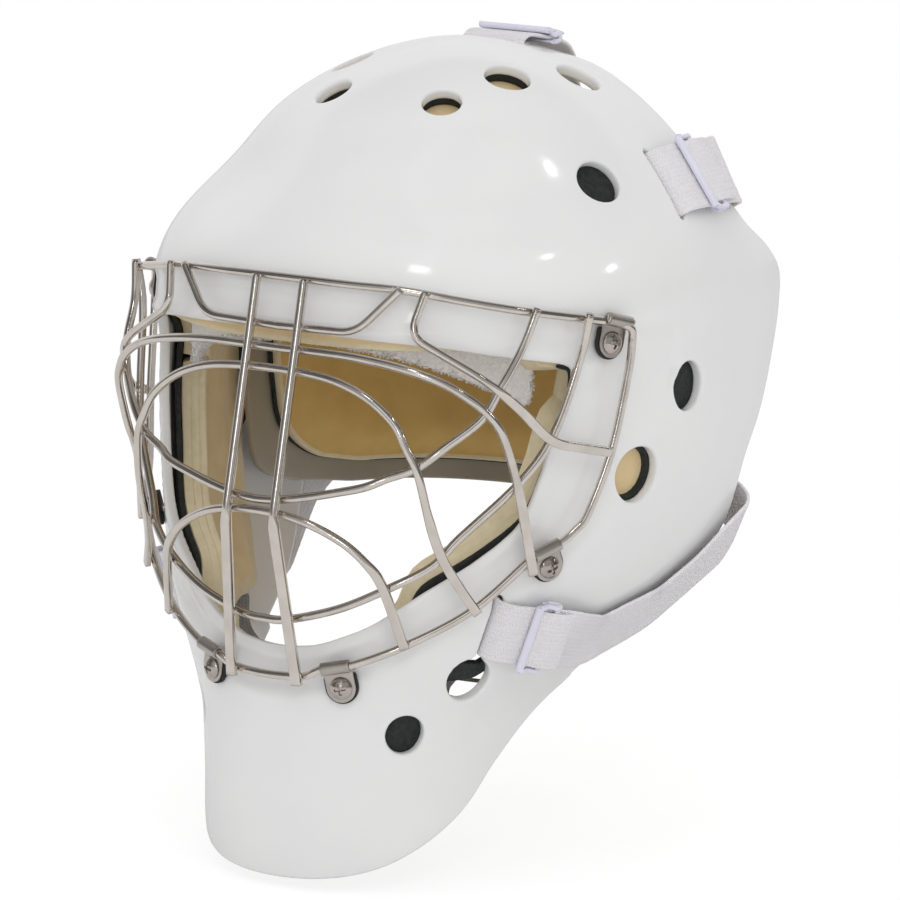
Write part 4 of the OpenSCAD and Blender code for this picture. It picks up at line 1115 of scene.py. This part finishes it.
side_pads(False)
side_pads(True)
pad("forehead_foam", "forehead_pad", shell_point,
    [[-56, -7], [-20, -9], [20, -8.6], [40, -7.4], [56, -6.5], [58, 54], [-58, 54]], 4.6,
    PAD_THICK, [TAN, CREAM, TAN], edge_profile(PAD_THICK, 0.8, 2.0, (4.2,)), slot="tan_foam",
    sigma=3.0)
CROWN_PAD = [[-106, 58], [106, 58], [106, 93], [-106, 93]]
# Painted shade: the black layer runs down in a tab at 62 to 80 degrees, from 58 to 42 high, only to
# darken the inside of the temple vent, which lies in shadow.
CROWN_SIDE = [[58, 58], [62, 42], [80, 42], [84, 58], [106, 58], [106, 93]]
CROWN_BLACK = [[-t, z] for t, z in CROWN_SIDE[::-1]] + CROWN_SIDE
CROWN_VENTS = [vent_cut(s * t, z, r + 0.6) for t, z, r in VENTS[:3] for s in (1, -1)]
pad("crown_black", "crown_pad", shell_point, CROWN_BLACK, LINER_IN, 4.0, [BLACK] * 3,
    edge_profile(4.0, 0.5, 0.5), slot="black_foam", sigma=3.0, cuts=CROWN_VENTS)
pad("crown_foam", "crown_pad", shell_point, CROWN_PAD, LINER_IN, 7.0, [TAN, CREAM, TAN],
    edge_profile(7.0, 0.8, 2.6), slot="tan_foam", sigma=3.0, sink=4.1)
pad("chin_foam", "chin_pad", shell_point, [[-50, -206], [50, -206], [50, -154], [-50, -154]],
    LINER_IN, LINER_T + 2, [BLACK] * 3, edge_profile(LINER_T + 2, 0.8, 2.0), slot="black_foam",
    sigma=5.0)

SWEAT_IN, SWEAT_T = 16.3, 4
SWEAT = [[4, -10.5], [14, -12.5], [24, -15.5], [34, -20.5], [46, -29], [52.5, -36], [53.5, 18]]
band = pad("sweat_terry", "sweatband", shell_point,
           [[-t, z] for t, z in SWEAT[::-1]] + SWEAT,
           SWEAT_IN, SWEAT_T, [TERRY] * 3, edge_profile(SWEAT_T, 1.3, 1.7), slot="terry",
           sigma=3.0, step=1.8)


def loops_on(source, count, height, r, seed):
    """Small terry loops standing on the edge of a piece."""
    mesh = source.data
    polys = [q for q in mesh.polygons if q.material_index == 1]
    area = np.array([q.area for q in polys])
    rng = np.random.default_rng(seed)
    pile = Pile()
    for q in rng.choice(len(polys), count, p=area / area.sum()):
        poly = polys[q]
        corner = np.array([mesh.vertices[i].co for i in poly.vertices]) / MM
        w = rng.random(len(corner)) + 0.1
        c = w @ corner / w.sum()
        n = np.array(poly.normal)
        side = unit(np.cross(n, rng.normal(size=3)))
        lean = unit(n + 0.5 * rng.normal(size=3))
        h = height * (0.6 + 0.8 * rng.random())
        k = np.array([-1, -0.8, 0, 0.8, 1])
        lift = np.array([-0.2, 0.6, 1, 0.6, -0.2])
        path = c + side * (k * 0.32)[:, None] + lean * (lift * h)[:, None]
        pile.add(*sweep(path, np.tile(np.cross(side, lean), (5, 1)),
                        lambda i: round_section(r, 4)))
    return pile


tufts = loops_on(band, 2600, 0.9, 0.17, 7).object("sweat_loops", TERRY)

# Back plate with its foam and lining
PLATE_Y, PLATE_W, PLATE_REACH, PLATE_T, PLATE_FOAM_T = 30, 97, 120, 3, 3
PLATE_EDGE = [[-104, 118], [-100, 98], [-95, 89], [-89, 84], [-78, 82], [-30, 82], [0, 93],
              [30, 114], [60, 136], [72, 146]]
PLATE_PAD_EDGE = [[-95, 124], [-93, 110], [-89, 101], [-82, 94], [-74, 90.5], [-60, 89],
                  [-30, 89], [0, 100], [30, 121], [62, 145]]


def plate_point(th, z, d=0.0):
    th, z = np.broadcast_arrays(np.asarray(th, float), np.asarray(z, float))
    s = np.sqrt(1 - np.clip(z / (CROWN - d), 0, 1) ** 2)
    low = np.clip(-z / 130, 0, 1) ** 3
    a, b = (PLATE_W - d - 7 * low) * s, (PLATE_REACH - PLATE_Y - d - 16 * low) * s
    sn, cs = np.sin(np.radians(th)), np.cos(np.radians(th))
    return np.stack([a * signed_pow(sn, 0.8), PLATE_Y - b * signed_pow(cs, 0.8), z], -1)


def plate_soft(th, z, d=0.0):
    """The plate's form without the creases of its superellipse at the sides and back."""
    return (plate_point(th - 2, z, d) + 2 * plate_point(th, z, d)
            + plate_point(th + 2, z, d)) / 4


def plate_normal(th, z):
    return unit(np.cross(plate_point(th + 1, z) - plate_point(th - 1, z),
                         plate_point(th, z + 1) - plate_point(th, z - 1)))


def off_plate(th, z, d):
    return plate_point(th, z) + plate_normal(th, z) * d


def plate_outline(table, inset, z0, z1):
    edge = [[z, t + inset] for z, t in table]
    return outline(edge, [[z, 360 - t] for z, t in edge], z0, z1, 40)


# The plate's colour is painted shade: darkened and warmed as it looks inside the mask.
pad("plate_shell", "back_plate", plate_soft, plate_outline(PLATE_EDGE, 0, -104, 72), 0, PLATE_T,
    [PLATE_IN_PAINTED_SHADE] * 3, edge_profile(PLATE_T, 1.0, 1.0), body="back_plate", step=3.0, sigma=2.5,
    slot="plate", fill=None)
pad("plate_black", "plate_foam", plate_soft, plate_outline(PLATE_PAD_EDGE, 0, -95, 62),
    PLATE_T + 0.6, PLATE_FOAM_T, [BLACK] * 3, edge_profile(PLATE_FOAM_T, 0.5, 0.5),
    body="back_plate", step=3.0, sigma=2.0, slot="black_foam", crown=0.45)
# The lining's colour holds painted warm bounce light and shade as well as its own tan.
pad("plate_cloth", "plate_lining", plate_soft, plate_outline(PLATE_PAD_EDGE, 0.5, -94.2, 60),
    PLATE_T + 2.0, 10, [LINING_TAN_AND_PAINTED_BOUNCE, CREAM, LINING_TAN_AND_PAINTED_BOUNCE], edge_profile(10, 0.6, 1.8), body="back_plate",
    step=3.0, sigma=2.0, slot="tan_foam", crown=0.72)

STRAP_OFF = STRAP_T / 2 + 0.7
pile = Pile()
form = screw_form(4.5, 1.6, STRAP_OFF + STRAP_T / 2 + 0.4, 1.5, PLATE_T, ball=9.0)
for t, z in ((180, 56), (128, 36), (130, -80)):
    n = plate_normal(t, z)
    x = unit(np.cross([0, 0, 1.0], n))
    o = plate_point(t, z)
    pile.add(placed(form[0], o, x, np.cross(n, x), n), form[1])
    if t != 180:
        o, n, x = o * FLIP, n * FLIP, -x * FLIP
        pile.add(placed(form[0], o, x, np.cross(n, x), n), form[1])
screws = pile.object("plate_screw_forms", SCREW, "back_plate", angle=35)
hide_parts("plate_screws")

# Straps: out of the slot, through the slider, round the rim, onto the plate
RUN_AT, SLIDER_RUN, BAR_IN = 7, SLIDER_L + 14, 2.4


def strap_run(start, n, along, rest):
    flat = start + n * STRAP_LIFT
    return [start - n * (WALL + BAR_IN - 0.3), start - n, start + n * 1.6 + along * 2.4,
            flat + along * RUN_AT, flat + along * (RUN_AT + SLIDER_RUN)] + rest


def strap_normals(n, along, rest):
    return [-along, -along, unit(n - along), n, n] + rest


def plate_end(a, b):
    run = [np.array(a) + (np.array(b) - a) * t for t in (0, 0.5, 1)]
    return ([off_plate(*q, STRAP_OFF) for q in run], [plate_normal(*q) for q in run])


def strap(name, start, n, along, rest, out, ends, width, mirror):
    flip = FLIP if mirror else np.ones(3)
    points = np.array(strap_run(start, n, along, rest + ends[0])) * flip
    normals = np.array(strap_normals(n, along, out + ends[1])) * flip
    obj = ribbon(name + "_web", points, normals, width, STRAP_T, ELASTIC)
    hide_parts(name)
    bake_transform(obj)


def slider(name, start, n, along, width, mirror):
    """Ladder-lock slider with the folded-back strap end that rides on it."""
    x, w = np.cross(along, n), width / 2
    o = start + n * STRAP_LIFT + along * (RUN_AT + SLIDER_RUN / 2)
    pile = Pile()
    ends = [[s * (w + 1.5), 0] for s in (-1, 1)]
    for y, z, a, b in ((-4.0, 2.6, 3.4, 2.7), (0.8, -1.8, 3.6, 1.1), (4.6, 1.75, 2.6, 1.4)):
        path = np.array([[ends[0][0], y, z], [0, y, z], [ends[1][0], y, z]])
        path = resample(path, 2.0)
        sec = strap_section(a, b, 0.48 * min(a, b))
        pile.add(*sweep(path, np.tile([0, 0, 1.0], (len(path), 1)), lambda k: sec))
    wave = spline([[-4.4, 3.0], [-2.6, 2.9], [-0.6, 1.6], [1.4, 1.3], [3.4, 2.1], [5.2, 1.6],
                   [5.7, 0.2], [4.4, -0.9], [1.2, -1.6]], 6)
    for s in (-1, 1):
        path = np.column_stack([np.full(len(wave), s * (w + 1.5)), wave])
        out = np.tile([1.0, 0, 0], (len(path), 1))
        sec = strap_section(2.0, 1.9, 0.7)
        pile.add(*sweep(path, out, lambda k: sec))
    flip = FLIP if mirror else np.ones(3)

    def put(v):
        return placed(v, o, x, along, n) * flip

    verts = np.vstack(pile.v)
    faces = [f[::-1] for f in pile.f] if mirror else pile.f
    obj = new_object(name + "_form", put(verts), faces, NYLON, name, angle=45)
    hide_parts(name)
    tail = np.array([[0, -3.2, 1.75], [0, -0.5, 2.2], [0, 2.4, 3.1], [0, 5.2, 3.4], [0, 8.2, 3.1],
                     [0, 12.2, 2.9]])
    up = np.array([[0, 0, 1.0], [0, -0.2, 1], [0, -0.2, 1], [0, 0.1, 1], [0, 0.3, 1], [0, 0, 1]])
    obj = ribbon(name + "_tail", put(tail), (up @ np.stack([x, along, n])) * flip, width - 1.2,
                 1.5, ELASTIC, name, reach=2.0)


hinge_bend = [np.array([0, 93.0, 89.0]), np.array([0, 97.0, 80.0])]
strap("crown_strap", crown_start, crown_n, crown_along, hinge_bend,
      [unit([0, 0.8, 0.8]), unit([0, 1, 0.3])], plate_end([180, 65], [180, 46]), STRAP_W, False)
slider("crown_slider", crown_start, crown_n, crown_along, STRAP_W, False)
LOWER_BEND = [[82, -133, 3.4], [93, -126, 3.4], [97, -114, 3.4], [101, -104, 3.4],
              [105.5, -96, 2.4]]
for mirror in (False, True):
    side = "right" if mirror else "left"
    over = temple_start + temple_n * STRAP_LIFT + temple_along * (SLIDER_RUN + 19)
    strap("temple_strap_" + side, temple_start, temple_n, temple_along, [over],
          [unit([1, 0.5, 0.5])], plate_end([122, 38], [136, 35]), STRAP_W, mirror)
    slider("temple_slider_" + side, temple_start, temple_n, temple_along, STRAP_W, mirror)
    strap("lower_strap_" + side, lower_start, lower_n, lower_along,
          [lifted(*q) for q in LOWER_BEND],
          [shell_normal(q[0], q[1]) for q in LOWER_BEND[:4]] + [unit([1, 0.8, -0.3])],
          plate_end([123, -81], [138, -79]), LOWER_W, mirror)
    slider("lower_slider_" + side, lower_start, lower_n, lower_along, LOWER_W, mirror)

# Stop bars in the folded strap ends
pile = Pile()
for start, n, across, width in STRAPS:
    h = (width + 7) / 2
    rod = lathe([[0.9, -h], [1.35, -h + 0.2], [1.5, -h + 0.6], [1.5, h - 0.6], [1.35, h - 0.2],
                 [0.9, h]], 24)
    v = placed(rod[0], start - n * (WALL + BAR_IN + 1.5), n, np.cross(across, n), across)
    pile.add(v, rod[1])
    if start[0] > 1:
        pile.add(v * FLIP, [f[::-1] for f in rod[1]])
bars = pile.object("stop_bars", NYLON, angle=40)
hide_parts("strap_bars")

# Chin sling: soft cup, webbing and snaps
CUP_AT, CUP_W, CUP_REACH, CUP_H, CUP_T = np.array([0, -48, -152]), 38, 34, 34, 5


def cup_surface(th, v, d=0.0):
    """v runs from -1 at the rim's lowest point to 0 at its edge, in fiftieths."""
    th, k = np.broadcast_arrays(np.radians(th), np.radians(np.asarray(v, float) * -80 / 50))
    return CUP_AT + np.stack([(CUP_W - d) * np.cos(k) * np.sin(th),
                              -(CUP_REACH - d) * np.cos(k) * np.cos(th),
                              -(CUP_H - d) * np.sin(k)], -1)


pad("cup_form", "chin_cup", cup_surface, [[-100, -47], [100, -47], [100, 0], [-100, 0]], 0, CUP_T,
    [CUP] * 3, edge_profile(CUP_T, 1.6, 2.2), body="chin_sling", sigma=5.0, slot="cup", step=2.0)
SLING_WALL = shell_point(72, -140, WALL + 0.3)
SNAP_IN, WEB_W, STUD_OUT = 7, 18, 1.3
x, y, z = SLING_WALL - [SNAP_IN + STRAP_T / 2 + 0.4, 0, 0]
side = CUP_W + STRAP_T / 2 + 0.4
cy, cz = CUP_AT[1], CUP_AT[2]
points = [[side, cy + 2, cz - 12], [side, cy + 2, cz - 3], [side + 6, cy + 3, cz + 3],
          [x - 6, y - 2, z - 11], [x, y, z - 5], [x, y, z + 7]]
normals = [[1, 0, 0], [1, 0, -0.3], [0.5, 0, -1], [0.5, 0, -1], [1, 0, -0.3], [1, 0, 0]]
snaps, studs = Pile(), Pile()
cap = lathe([[2.9, 0.75], [2.9, 0.7], [0.4, 0.7]][::-1] + [[2.9, 2.5], [3.1, 2.6], [4.6, 2.6],
            [4.9, 2.4], [5, 2.0], [5, 0.5], [4.8, 0.15], [4.2, 0]], 36)
reach = SNAP_IN - STUD_OUT - 1.2
post = lathe([[1.8, 0], [2.3, 0.15], [2.5, 0.5], [2.5, 1.4], [2.2, 1.7], [2.2, reach - 0.4],
              [2.5, reach]], 32)
for s in (1, -1):
    obj = ribbon("sling_web_" + ("left" if s > 0 else "right"), np.array(points) * [s, 1, 1],
                 np.array(normals) * [s, 1, 1], WEB_W, STRAP_T, WEBBING, "chin_sling", reach=3.0)
    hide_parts("chin_webbing")
    for target, form, at in ((snaps, cap, SNAP_IN), (studs, post, STUD_OUT + reach)):
        v = placed(form[0], SLING_WALL - [at, 0, 0], [0, 1, 0], [0, 0, 1], [1, 0, 0])
        target.add(v * [s, 1, 1], form[1] if s > 0 else [f[::-1] for f in form[1]])
for pile, name, node, body in ((snaps, "snap_caps", "chin_snaps", "chin_sling"),
                               (studs, "stud_posts", "snap_studs", "mask")):
    obj = pile.object(name, SNAP, body, angle=40)
    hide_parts(node)

# Floor, world and lamps
FLOOR_Z, FLOOR_HALF = -0.2295, 6000


def stage_mesh(name, size, z, mat):
    n = 24
    xs = np.linspace(-size, size, n)
    verts = [(x, y, z / MM) for y in xs for x in xs]
    obj = new_object(name, verts, grid_faces(n, n), mat, None)
    return obj


def floor_material():
    mat, tree, bsdf = new_material("floor")
    for key, value in (("Base Color", (0.9, 0.9, 0.9, 1)), ("Roughness", 0.9),
                       ("Specular IOR Level", 0.1)):
        bsdf.inputs[key].default_value = value
    glow = shader(tree, "Emission", {"Strength": 1.12})
    path = shader(tree, "LightPath", {})
    share = math_node(tree, "MULTIPLY", path.outputs["Is Camera Ray"], 0.75)
    mix = shader(tree, "MixShader", {0: share, 1: bsdf.outputs[0], 2: glow.outputs[0]})
    link(tree, mix.outputs[0], tree.nodes["Material Output"].inputs["Surface"])
    return mat


stage_mesh("floor", FLOOR_HALF, FLOOR_Z, floor_material())

world = bpy.data.worlds.new("studio")
bpy.context.scene.world = world
world.use_nodes = True
wt = world.node_tree
ray = shader(wt, "LightPath", {}).outputs
way = shader(wt, "TexCoord", {}).outputs["Generated"]


def toward(x, y):
    return shader(wt, "VectorMath", {0: way, 1: (x, y, 0)}, operation="DOT_PRODUCT").outputs[1]


def grey(fac, stops):
    return ramp(wt, fac, [(at, (v, v, v)) for at, v in stops])


def mixed(share, a, b):
    return shader(wt, "Mix", {0: share, 6: a, 7: b}, data_type="RGBA").outputs[2]


height = map_range(wt, shader(wt, "SeparateXYZ", {0: way}).outputs[2], 0, 1, -1, 1)
sky = grey(height, [(0.0, 0.66), (0.5, 0.67), (0.62, 0.68), (1.0, 0.68)])
# What metal reflects: white behind the part, bright strips in front, dark at the sides
turned = math_node(wt, "ARCTAN2", toward(0.838, 0.545), toward(0.545, -0.838))
strips = grey(map_range(wt, turned, 0, 1, -math.pi, math.pi), [
    (0.0, 0.95), (0.15, 0.8), (0.21, 0.2), (0.30, 0.14), (0.36, 0.42), (0.41, 0.5), (0.43, 1.0),
    (0.455, 1.0), (0.48, 0.45), (0.60, 0.5), (0.66, 0.16), (0.75, 0.12), (0.80, 0.3),
    (0.86, 0.85), (1.0, 0.95)])
layers = grey(height, [(0.0, 0.2), (0.25, 0.3), (0.36, 0.85), (0.62, 0.9), (0.70, 1.0),
                       (0.80, 1.0), (0.85, 0.55), (1.0, 0.5)])
studio = shader(wt, "VectorMath", {0: strips, 1: layers}, operation="MULTIPLY")
mirrored = math_node(wt, "MAXIMUM", ray["Is Glossy Ray"], ray["Is Transmission Ray"])
seen = mixed(mirrored, sky, studio.outputs["Vector"])
back = wt.nodes["Background"].inputs
link(wt, mixed(ray["Is Camera Ray"], seen, (1, 1, 1, 1)), back["Color"])
back["Strength"].default_value = 1.0


def lamp(name, at, target, size, power):
    data = bpy.data.lights.new(name, "AREA")
    data.shape = "RECTANGLE"
    data.size = data.size_y = size
    data.energy = power
    obj = bpy.data.objects.new(name, data)
    obj.location = at
    obj.rotation_euler = (Vector(target) - Vector(at)).to_track_quat("-Z", "Y").to_euler()
    bpy.context.scene.collection.objects.link(obj)
    return obj


for name, at, size, power in (("key", (1.2, -1.5, 1.5), 0.9, 6.5),
                              ("fill", (-1.8, -1.2, 0.8), 1.2, 3.2),
                              ("front", (1.6, -1.6, -0.05), 1.2, 6.5),
                              ("top", (0.1, 0.3, 2.0), 1.2, 3)):
    lamp(name, at, (0, 0, -0.05), size, power).visible_glossy = False
# Small lamps that glint on the gel coat and the wires, each seen along a way from a point
GLINT_FAR = 2.3
for name, at, along, size, power in (
        ("glint_top", (70, -16, 61), (0.542, 0.114, 0.832), 0.13, 0.9),
        ("glint_side", (105, -22, 21), (0.779, 0.425, 0.461), 0.16, 0.9),
        ("glint_brow", (53, -81, 24), (0.097, -0.534, 0.84), 0.3, 1.6),
        ("glint_front", (0, -100, 0), (0.25, -0.95, 0.2), 0.2, 0.8)):
    p = np.array(at) * MM
    lamp(name, tuple(p + np.array(along) * GLINT_FAR), tuple(p), size, power)

# Camera, as the photo's: turned, raised and rolled, with its middle off the picture's middle
AZ, EL, ROLL = math.radians(33.034), math.radians(11.503), math.radians(0.403)
DIST, FOCAL, U0, V0, PICTURE, SENSOR = 2398.564, 6068.4, 251.73, 516.65, 900, 36
HEAD_AT = np.array([0, 120, 75])
fwd = np.array([-math.sin(AZ) * math.cos(EL), math.cos(AZ) * math.cos(EL), -math.sin(EL)])
right = np.array([math.cos(AZ), math.sin(AZ), 0])
up = np.cross(right, fwd)
r2 = right * math.cos(ROLL) + up * math.sin(ROLL)
u2 = -right * math.sin(ROLL) + up * math.cos(ROLL)
centre = (-fwd - r2 * (U0 - PICTURE / 2) / FOCAL + u2 * (V0 - PICTURE / 2) / FOCAL) * DIST - HEAD_AT
cam_data = bpy.data.cameras.new("camera")
cam = bpy.data.objects.new("camera", cam_data)
bpy.context.scene.collection.objects.link(cam)
cam_data.sensor_width = SENSOR
cam_data.lens = FOCAL / PICTURE * SENSOR
cam_data.clip_start, cam_data.clip_end = 0.05, 50
m = np.eye(4)
m[:3] = np.column_stack([r2, u2, -fwd, centre * MM])
cam.matrix_world = Matrix(m.tolist())
bpy.context.scene.camera = cam
bpy.context.scene.view_settings.view_transform = "Standard"
